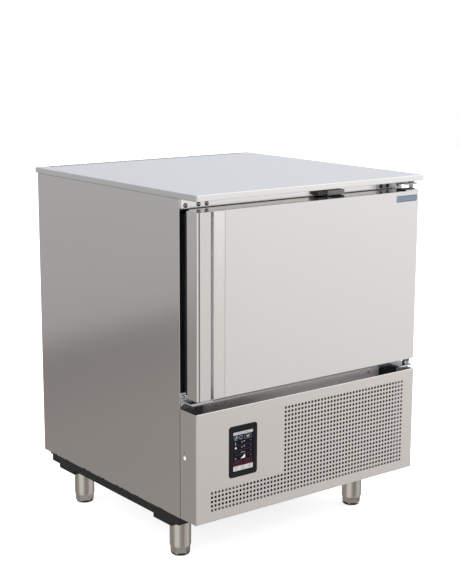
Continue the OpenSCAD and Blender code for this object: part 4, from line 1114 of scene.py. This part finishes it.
    # four value rows
    for k, t in enumerate((0.345, 0.470, 0.595)):
        patch("dim", rect(0.06, t, 0.94, t + 0.006, 0.002))
    for k, t in enumerate((0.275, 0.405, 0.530, 0.655)):
        patch("mark", rect(0.885, t - 0.008, 0.915, t + 0.010, 0.006))
    patch("mark", rect(0.105, 0.250, 0.135, 0.318, 0.012))
    patch("mark", rect(0.090, 0.300, 0.150, 0.326, 0.012))
    patch("white", [(0.075, 0.425), (0.110, 0.395), (0.135, 0.372), (0.165, 0.392), (0.180, 0.425)])
    patch("dim", rect(0.09, 0.520, 0.15, 0.532, 0.004))
    patch("mark", [(0.085, 0.690), (0.120, 0.655), (0.160, 0.690), (0.150, 0.700), (0.095, 0.700)])
    for t in (0.270, 0.400):
        patch("mark", [(0.41, t + 0.018), (0.44, t - 0.016), (0.475, t - 0.010), (0.455, t + 0.022)])
        patch("mark", [(0.52, t - 0.016), (0.60, t - 0.022), (0.585, t + 0.004), (0.565, t + 0.024), (0.545, t + 0.004)])
    patch("mark", rect(0.40, 0.532, 0.60, 0.548, 0.008))
    patch("mark", rect(0.33, 0.545, 0.37, 0.551, 0.003))
    patch("white", [(0.38, 0.700), (0.44, 0.672), (0.50, 0.652), (0.555, 0.618), (0.600, 0.600), (0.600, 0.690), (0.500, 0.700)])
    for s0, s1 in ((0.035, 0.435), (0.545, 0.945)):
        frame_of("red", s0, 0.738, s1, 0.858, 0.022, 0.05)
        patch("steel_blue", rect(s0 + 0.09, 0.790, s1 - 0.09, 0.806, 0.01))
    for k, mesh in shapes.items():
        if mesh.v:
            make("display_picture_" + k, mesh, "cabinet", looks[k], SLOT_OF.get("display_glass"), sharp=40)


display()


# ---------------------------------------------------------------- screws
def screws():
    g = Mesh()

    def head(x, y, z, ny, dark=0, spin=0.0, r=4.6):
        d = r - 4.6
        ring = [(4.55 + d, 0.02), (4.6 + d, 0.5), (4.45 + d, 0.95), (3.9 + d * 0.8, 1.15)]
        dome = [(3.9 + d * 0.8, 1.15), (3.65 + d * 0.6, 1.5), (3.2 + d * 0.4, 2.15), (2.5 + d * 0.2, 2.6), (1.75, 2.78), (1.62, 2.7, 6), (1.55, 1.5, 6), (0.6, 1.2), (0.0, 1.15)]

        def place(a, b, h):
            ca, sa = math.cos(spin), math.sin(spin)
            return (x + a * ca - b * sa, y + ny * h, z + a * sa + b * ca)

        # a dark of 1 paints shade on the ring, 2 on the whole head
        g.mat = 1 if dark else 0
        g.lathe(ring, place, 24)
        g.mat = 0 if dark < 2 else 1
        g.lathe(dome, place, 24)

    for k, x in enumerate((-377, 377, 334, 308)):
        head(x, -328.0, 990, -1, (1, 1, 2, 2)[k], 0.3 * k, 6.4)
    for x in (-334, -308):
        head(x, -325.0, 990, -1, 1, 0.2, 6.4)
    head(-385.6, -328.0, 467, -1, 0, 0.5)
    head(-385.6, -328.0, 485.4, -1, 1, 0.5)
    for x in (352, 336):
        head(x, -329.2, 476, -1, 1, 0.1)
    for x in (-345, 345):
        head(x, -326.2, 446.5, -1, 2, 0.4)
    for x in (-277.7, 277.7):
        head(x, -325.0, 445.6, -1, 0, 0.2)
    for x in (-386, -130, 130, 386):
        for z in (165, 995):
            head(x, 403.5, z, 1, 0, 0.1 * z)
    for x in (-386, 386):
        for z in (430, 720):
            head(x, 403.5, z, 1, 0, 0.1 * z)
    make("casing_screw_heads", g, "cabinet", [M["screw"], M["screw_painted_shade"]], SLOT_OF.get("casing_screws"), ["casing_screws"], sharp=35)


screws()


# ---------------------------------------------------------------- legs, adjusters, pads
LEGS = {"front_left": (-321.4, -219.5), "front_right": (321.4, -219.5), "rear_left": (-321.4, 291.0), "rear_right": (321.4, 291.0)}


def legs():
    g = Mesh()
    for x, y in LEGS.values():
        prof = [(28.5, 26.0), (28.55, 25.3), (28.75, 25.05), (29.0, 25.3), (29.5, 27.6), (29.92, 29.3), (30.0, 30.4), (30.0, 60.0), (30.0, 104.0), (30.0, 106.5), (30.0, 111.0),
                (8.05, 111.0), (8.05, 62.0), (13.0, 62.0), (13.0, 105.0), (28.5, 105.0)]
        g.lathe(prof, lambda a, b, h, x=x, y=y: (x + a, y + b, h), 72, closed=True)
    make("leg_tubes_turned", g, "cabinet", M["leg_steel"], SLOT_OF.get("leg_tubes"), ["leg_tubes"], sharp=30)
    for k, (x, y) in LEGS.items():
        a = Mesh()
        prof = [(0.0, 5.0), (26.0, 5.0), (27.0, 5.7), (26.6, 6.2), (23.6, 7.2, 6), (23.95, 8.0, 6), (23.95, 23.6, 6), (23.6, 24.4, 6), (27.2, 25.6), (27.6, 26.4), (28.3, 27.0), (28.42, 27.6), (28.42, 74.4), (28.0, 75.0), (16.0, 75.0), (16.0, 33.0), (8.0, 33.0)]
        z = 33.0
        while z < 98.0:                                    # thread
            prof += [(8.0, z + 0.3), (7.35, z + 1.0), (7.35, z + 1.2), (8.0, z + 1.9)]
            z += 2.0
        prof += [(7.4, 99.0), (6.6, 100.0), (0.0, 100.0)]
        a.lathe(prof, lambda p, q, h, x=x, y=y: (x + p, y + q, h), 48)
        ob = make("adjuster_%s_turned" % k, a, "foot_" + k, [M["leg_steel"], M["pad"]], SLOT_OF.get("adjuster_" + k), ["adjuster_" + k], sharp=30)
        for q in ob.data.polygons:
            if q.center.z < 0.0061:
                q.material_index = 1
        p = Mesh()
        p.lathe([(0.0, 0.25), (16.0, 0.25), (16.6, 0.0), (22.6, 0.0), (23.8, 0.35), (24.9, 1.4), (25.2, 2.2), (25.3, 3.6), (25.2, 4.4), (24.9, 5.0), (0.0, 5.0)], lambda u, v, h, x=x, y=y: (x + u, y + v, h), 48)
        make("foot_pad_%s_moulded" % k, p, "foot_" + k, M["pad"], SLOT_OF.get("foot_pad_" + k), ["foot_pad_" + k], sharp=40)


legs()


# ---------------------------------------------------------------- fans
def fan(name, node, body, cx, cz, y0, depth, ro, rh, count, pitch, mat):
    g = Mesh()
    yb = y0 + depth

    def place(a, b, h):
        return (cx + a, y0 + h, cz + b)

    prof = [(0.0, 0.6), (rh * 0.35, 0.35), (rh * 0.75, 0.8), (rh - 2.2, 1.8), (rh - 0.6, 3.4), (rh, 5.5), (rh, depth - 0.6), (rh - 0.5, depth), (rh - 3.0, depth), (rh - 3.4, depth - 0.6), (rh - 3.4, depth * 0.55),
            (8.5, depth * 0.55), (8.2, depth - 0.5), (7.6, depth), (4.15, depth), (4.08, depth - 0.4), (4.08, depth * 0.5 + 0.4), (0.0, depth * 0.5 + 0.4)]
    g.lathe(prof, place, 56)
    for i in range(count):
        base = 2 * math.pi * i / count
        up_s, lo_s = [], []
        for a in range(9):
            t = a / 8
            r = rh - 1.5 + (ro * 0.962 - rh + 1.5) * t
            chord = ro * (0.34 + 0.16 * math.sin(math.pi * min(1, t * 0.9 + 0.1)))
            if t > 0.9:
                chord *= 1 - 0.12 * (t - 0.9) / 0.1
            pt = math.radians(pitch * (1.12 - 0.38 * t))
            sweep = 0.16 * t * t
            us, ls = [], []
            for b in range(9):
                s = b / 8 - 0.5
                along = chord * s * math.cos(pt)
                camber = 0.055 * chord * (1 - 4 * s * s)
                hgt = depth / 2 + chord * s * math.sin(pt) + camber * math.cos(pt)
                th = 1.5 * (1 - 0.75 * (2 * s) ** 4) / 2
                ang = base + sweep + along / r
                hgt = min(max(hgt, 1.2), depth - 1.2)
                us.append((cx + r * math.cos(ang), y0 + min(hgt + th, depth), cz + r * math.sin(ang)))
                ls.append((cx + r * math.cos(ang), y0 + max(hgt - th, 0), cz + r * math.sin(ang)))
            up_s.append(us)
            lo_s.append(ls)
        rings = [u + list(reversed(l)) for u, l in zip(up_s, lo_s)]
        g.loops(rings, True, False, True, True)
    make(name, g, body, mat, SLOT_OF.get(node), [node], sharp=35)


fan("condenser_fan_rotor", "condenser_fan", "condenser_fan", 140, 290, -192, 24, 108, 34, 5, 28, M["fan_plastic"])
fan("evaporator_fan_rotor", "evaporator_fan", "evaporator_fan", 0, 730, 118, 30, 148, 40, 5, 26, M["fan_plastic"])


# ---------------------------------------------------------------- black base: sealing compound squeezed out under the panels
def sealant():
    g = Mesh()
    rnd = random.Random(7)

    def strip(p0, p1, nrm):
        L = math.hypot(p1[0] - p0[0], p1[1] - p0[1])
        n = int(L / 4)
        rings = []
        h = 0.0
        for i in range(n + 1):
            t = i / n
            x, y = p0[0] + (p1[0] - p0[0]) * t, p0[1] + (p1[1] - p0[1]) * t
            h = 0.55 * h + 0.45 * rnd.uniform(0.0, 1.0)
            lump = max(0.0, h - 0.42) * 7.0
            w = 1.2 + 1.4 * h
            rings.append([(x, y, 148.0), (x + nrm[0] * w * 0.9, y + nrm[1] * w * 0.9, 147.6), (x + nrm[0] * w, y + nrm[1] * w, 149.4 + lump * 0.4), (x + nrm[0] * w * 0.55, y + nrm[1] * w * 0.55, 150.2 + lump), (x, y, 150.4 + lump * 0.8)])
        g.loops(rings, True, False, True, True)

    strip((-395.05, -306), (-395.05, 362), (-1, 0))
    strip((395.05, -306), (395.05, 362), (1, 0))
    make("base_sealant_bead", g, "cabinet", M["sealant"], SLOT_OF.get("base_pan"), sharp=50)


sealant()

def badge():
    """Blank plate on the door: dished face, darker sunk border, bright outer rim."""
    g = Mesh()

    def ring(off, y):
        return [(x, y, z) for x, z in rrect(303.1 + off, 950.1 + off, 382.4 - off, 968.9 - off, max(1.5 - off * 0.4, 0.6), 4)]

    g.mat = 1
    g.loops([ring(o, y) for o, y in ((0.0, -398.01), (0.0, -398.5), (0.25, -398.74), (0.6, -398.78), (0.95, -398.7))])
    g.mat = 2
    g.loops([ring(o, y) for o, y in ((0.95, -398.7), (1.1, -398.55), (2.2, -398.55), (2.4, -398.6))])
    g.mat = 0
    g.loops([ring(o, y) for o, y in ((2.4, -398.6), (2.7, -398.68), (3.4, -398.7))], cap1=True)
    g.mat = 1
    g.loops([ring(0.0, -398.01), ring(0.4, -398.01)], cap1=True)
    make("door_badge_blank", g, "door", [M["blank"], M["blank_edge"], M["blank_rim"]], SLOT_OF.get("door_badge_plate"), ["door_badge_plate"], sharp=30)


badge()

# ---------------------------------------------------------------- the rest: softened copies of machined, folded and moulded parts
for node, mat, w in (
    ("top_hinge_plate", "zinc", 0.5), ("bottom_hinge_bracket", "zinc_painted_shade", 0.5), ("hinge_pins", "zinc", 0.35), ("door_rest_bracket", "zinc_painted_light", 0.5),
    ("spare_hinge_plate", "frame_steel_painted_shadow", 0.4), ("door_rest_pad", "pad", 0.3), ("door_switch", "switch_plastic", 0.6), ("door_hinge_bushes", "dark_plastic", 0.3),
    ("door_magnet", "dark_plastic", 0.5), ("panel_side_plug", "white_plastic", 0.25),
    ("base_pan", "black_metal", 0.5), ("cross_members", "black_metal", 0.6), ("galvanised_casing", "recess", 0.0),
    ("display_housing", "dark_plastic", 0.6), ("electrical_box", "electric", 0.5), ("compressor", "compressor_paint", 0.6), ("compressor_mounts", "pad", 0.4),
    ("condenser_shroud", "shroud", 0.4), ("condenser_fan_motor", "dark_plastic", 0.5), ("evaporator_fan_motor", "dark_plastic", 0.5),
    ("filter_drier", "copper", 0.3), ("liquid_receiver", "compressor_paint", 0.3), ("drain_pipe", "pipe_plastic", 0.3), ("cable_glands", "dark_plastic", 0.4),
    ("fan_baffle", "liner_steel", 0.3), ("tray_runners_left", "liner_steel", 0.3), ("tray_runners_right", "liner_steel", 0.3),
):
    piece = softened(node, M[mat], w)
    if node == "door_switch":
        piece.data.materials.append(M["switch_dark"])
        for q in piece.data.polygons:
            if q.center.x < 0.08795:
                q.material_index = 1
    # bushes: plates on top take the lighter zinc, those underneath the darker: painted light and shade
    if node == "door_hinge_bushes":
        piece.data.materials.append(M["zinc_painted_light"])
        piece.data.materials.append(M["zinc_painted_shade"])
        for q in piece.data.polygons:
            c = q.center
            if c.z > 0.9798 and math.hypot(c.x - 0.380, c.y + 0.377) > 0.0108 and q.normal.x > -0.5:
                q.material_index = 1
            elif c.z < 0.4869:
                q.material_index = 2
    # front-facing faces of the bottom hinge bracket take the lighter zinc, the rest the darker: painted light and shade
    if node == "bottom_hinge_bracket":
        piece.data.materials.append(M["zinc_painted_light"])
        for q in piece.data.polygons:
            if q.normal.y < -0.6:
                q.material_index = 1

# the condenser coil takes the near-black fins: painted shade
for node, mat in (("worktop_core", "board"), ("cabinet_insulation", "foam"), ("door_foam", "foam"), ("condenser_coil", "fins_painted_shade"), ("evaporator_coil", "fins"), ("refrigerant_pipes", "copper")):
    ob = NODES[node]
    if not ob.data.materials:
        ob.data.materials.append(M[mat])
    for s in ob.material_slots:
        s.material = M[mat]


# ---------------------------------------------------------------- stage: pale floor, soft light
floor_mat = Mat("studio_floor", (0.86, 0.86, 0.86), 0.0, 0.85, 0.1)
fv = floor_mat.noise(0.8, None, 3, 0.5)
floor_mat.color(floor_mat.mix(fv, (0.84, 0.84, 0.84), (0.88, 0.88, 0.88)))
floor_mat.b.inputs["Emission Color"].default_value = (1, 1, 1, 1)
floor_mat.b.inputs["Emission Strength"].default_value = 0.77
me = bpy.data.meshes.new("studio_floor")
me.from_pydata([(-9, -9, -0.0004), (9, -9, -0.0004), (9, 9, -0.0004), (-9, 9, -0.0004)], [], [(0, 1, 2, 3)])
me.materials.append(floor_mat.m)
floor = bpy.data.objects.new("studio_floor", me)
scene.collection.objects.link(floor)
floor.visible_glossy = False


def area(name, loc, aim, size, power, tint=(1, 1, 1)):
    d = bpy.data.lights.new(name, "AREA")
    d.shape = "RECTANGLE"
    d.size, d.size_y = size
    d.energy = power
    d.color = tint
    o = bpy.data.objects.new(name, d)
    o.location = loc
    o.rotation_mode = "QUATERNION"
    o.rotation_quaternion = (Vector(aim) - Vector(loc)).to_track_quat("-Z", "Y")
    o.visible_glossy = False
    scene.collection.objects.link(o)
    return o


area("softbox_top", (0.4, -0.6, 3.4), (0, 0, 0.5), (3.0, 3.0), 55)
area("softbox_front", (1.6, -3.2, 1.8), (0, -0.2, 0.6), (2.0, 2.0), 22)

world = bpy.data.worlds.new("studio")
scene.world = world
world.use_nodes = True
wt = world.node_tree
for n in list(wt.nodes):
    wt.nodes.remove(n)


def W(kind):
    return wt.nodes.new(kind)


def wl(a, b):
    wt.links.new(a, b)


tc = W("ShaderNodeTexCoord")
sep = W("ShaderNodeSeparateXYZ")
wl(tc.outputs["Generated"], sep.inputs[0])


def wramp(fac, stops):
    n = W("ShaderNodeValToRGB")
    r = n.color_ramp
    r.interpolation = "EASE"
    while len(r.elements) < len(stops):
        r.elements.new(0.5)
    for e, (p, c) in zip(r.elements, stops):
        e.position = p
        e.color = (*c, 1)
    wl(fac, n.inputs["Fac"])
    return n.outputs["Color"]


def wmap(v, a, b):
    n = W("ShaderNodeMapRange")
    n.interpolation_type = "SMOOTHSTEP"
    n.inputs["From Min"].default_value = a
    n.inputs["From Max"].default_value = b
    wl(v, n.inputs["Value"])
    return n.outputs["Result"]


def wmix(f, a, b):
    n = W("ShaderNodeMix")
    n.data_type = "RGBA"
    wl(f, n.inputs[0])
    wl(a, n.inputs[6])
    wl(b, n.inputs[7])
    return n.outputs[2]


zf = W("ShaderNodeMapRange")          # height -1..1 to 0..1
zf.inputs["From Min"].default_value = -1
zf.inputs["From Max"].default_value = 1
wl(sep.outputs["Z"], zf.inputs["Value"])
h = zf.outputs["Result"]


def hz(z):
    return (z + 1) / 2


def g3(v, t=(1, 1, 1)):
    return tuple(v * c for c in t)


WARM, COOL, PINK = (1.0, 0.972, 0.945), (0.955, 0.985, 1.02), (1.03, 0.985, 0.965)
front_c = wramp(h, [(hz(-1), g3(0.68, WARM)), (hz(-0.38), g3(0.775, (1.0, 0.968, 0.95))), (hz(-0.20), g3(0.995, (1.0, 0.983, 0.978))), (hz(-0.08), g3(1.11, (1, 1.005, 1.012))), (hz(0.25), g3(1.25)), (hz(0.6), g3(1.6)), (hz(1), g3(1.4, COOL))])
# the room's far edge lies a little lower towards the back
tilt = W("ShaderNodeMath")
tilt.operation = "MULTIPLY_ADD"
wl(sep.outputs["X"], tilt.inputs[0])
tilt.inputs[1].default_value = 0.125
wl(h, tilt.inputs[2])
tilt2 = W("ShaderNodeMath")
tilt2.operation = "ADD"
wl(tilt.outputs[0], tilt2.inputs[0])
tilt2.inputs[1].default_value = 0.0685
left_c = wramp(tilt2.outputs[0], [(hz(-1), g3(0.42, WARM)), (hz(-0.37), g3(0.415, (1, 0.945, 0.905))), (hz(-0.30), g3(0.395, (1, 0.945, 0.905))), (hz(-0.234), g3(0.345, (1, 0.955, 0.93))), (hz(-0.205), g3(0.54, (1, 0.99, 0.985))), (hz(-0.16), g3(0.575, (0.995, 0.995, 1))), (hz(-0.10), g3(0.61, (0.995, 0.995, 1.005))), (hz(0.0), g3(0.66)), (hz(0.4), g3(0.72)), (hz(1), g3(0.95, COOL))])
back_c = wramp(h, [(hz(-1), g3(0.45, WARM)), (hz(-0.25), g3(0.60, WARM)), (hz(-0.02), g3(0.80)), (hz(0.10), g3(0.88, COOL)), (hz(0.4), g3(0.92, COOL)), (hz(1), g3(1.0, COOL))])
rear = wmix(wmap(sep.outputs["X"], -0.35, 0.15), left_c, back_c)
env = wmix(wmap(sep.outputs["Y"], -0.15, 0.35), front_c, rear)
# upright light and dark bands of the room, told by the direction round the object (0.5 is straight ahead, 0.75 to the right)
az = W("ShaderNodeMath")
az.operation = "ARCTAN2"
neg = W("ShaderNodeMath")
neg.operation = "MULTIPLY"
wl(sep.outputs["Y"], neg.inputs[0])
neg.inputs[1].default_value = -1.0
wl(sep.outputs["X"], az.inputs[0])
wl(neg.outputs[0], az.inputs[1])
turn = W("ShaderNodeMapRange")
turn.inputs["From Min"].default_value = -math.pi
turn.inputs["From Max"].default_value = math.pi
wl(az.outputs[0], turn.inputs["Value"])


def around(stops):
    n = W("ShaderNodeValToRGB")
    r = n.color_ramp
    while len(r.elements) < len(stops):
        r.elements.new(0.5)
    for e, (deg, v) in zip(r.elements, stops):
        e.position = deg / 360 + 0.5
        e.color = (v, v, v, 1)
    wl(turn.outputs["Result"], n.inputs["Fac"])
    return n.outputs["Color"]


high = around([(-180, 0.98), (-151, 0.985), (-143, 1.06), (-130, 1.10), (-104, 1.16), (-60, 1.08), (-38, 1.06), (-25, 0.22), (19, 0.22), (30, 0.975), (36, 0.985), (41, 1.01), (46, 1.045), (60, 1.06), (118, 1.12), (136, 1.12), (152, 1.0), (180, 0.98)])
low = around([(-180, 0.98), (-151, 0.985), (-143, 1.05), (-128, 1.04), (-100, 1.25), (-88, 1.5), (-72, 1.15), (-56, 1.5), (-44, 0.85), (-34, 0.62), (-23, 0.74), (-8, 0.56), (2, 0.60), (11, 0.95), (24, 0.97), (34, 0.97), (47, 1.04), (60, 1.05), (80, 0.6), (104, 0.2), (125, 0.4), (150, 1.0), (180, 1.0)])
bands = wmix(wmap(sep.outputs["Z"], -0.34, -0.29), low, high)
shade = W("ShaderNodeMix")
shade.data_type = "RGBA"
shade.blend_type = "MULTIPLY"
shade.inputs[0].default_value = 1.0
wl(env, shade.inputs[6])
wl(bands, shade.inputs[7])
bg = W("ShaderNodeBackground")
wl(shade.outputs[2], bg.inputs["Color"])
white = W("ShaderNodeBackground")
white.inputs["Color"].default_value = (1, 1, 1, 1)
lp = W("ShaderNodeLightPath")
ms = W("ShaderNodeMixShader")
wl(lp.outputs["Is Camera Ray"], ms.inputs[0])
wl(bg.outputs[0], ms.inputs[1])
wl(white.outputs[0], ms.inputs[2])
out = W("ShaderNodeOutputWorld")
wl(ms.outputs[0], out.inputs["Surface"])
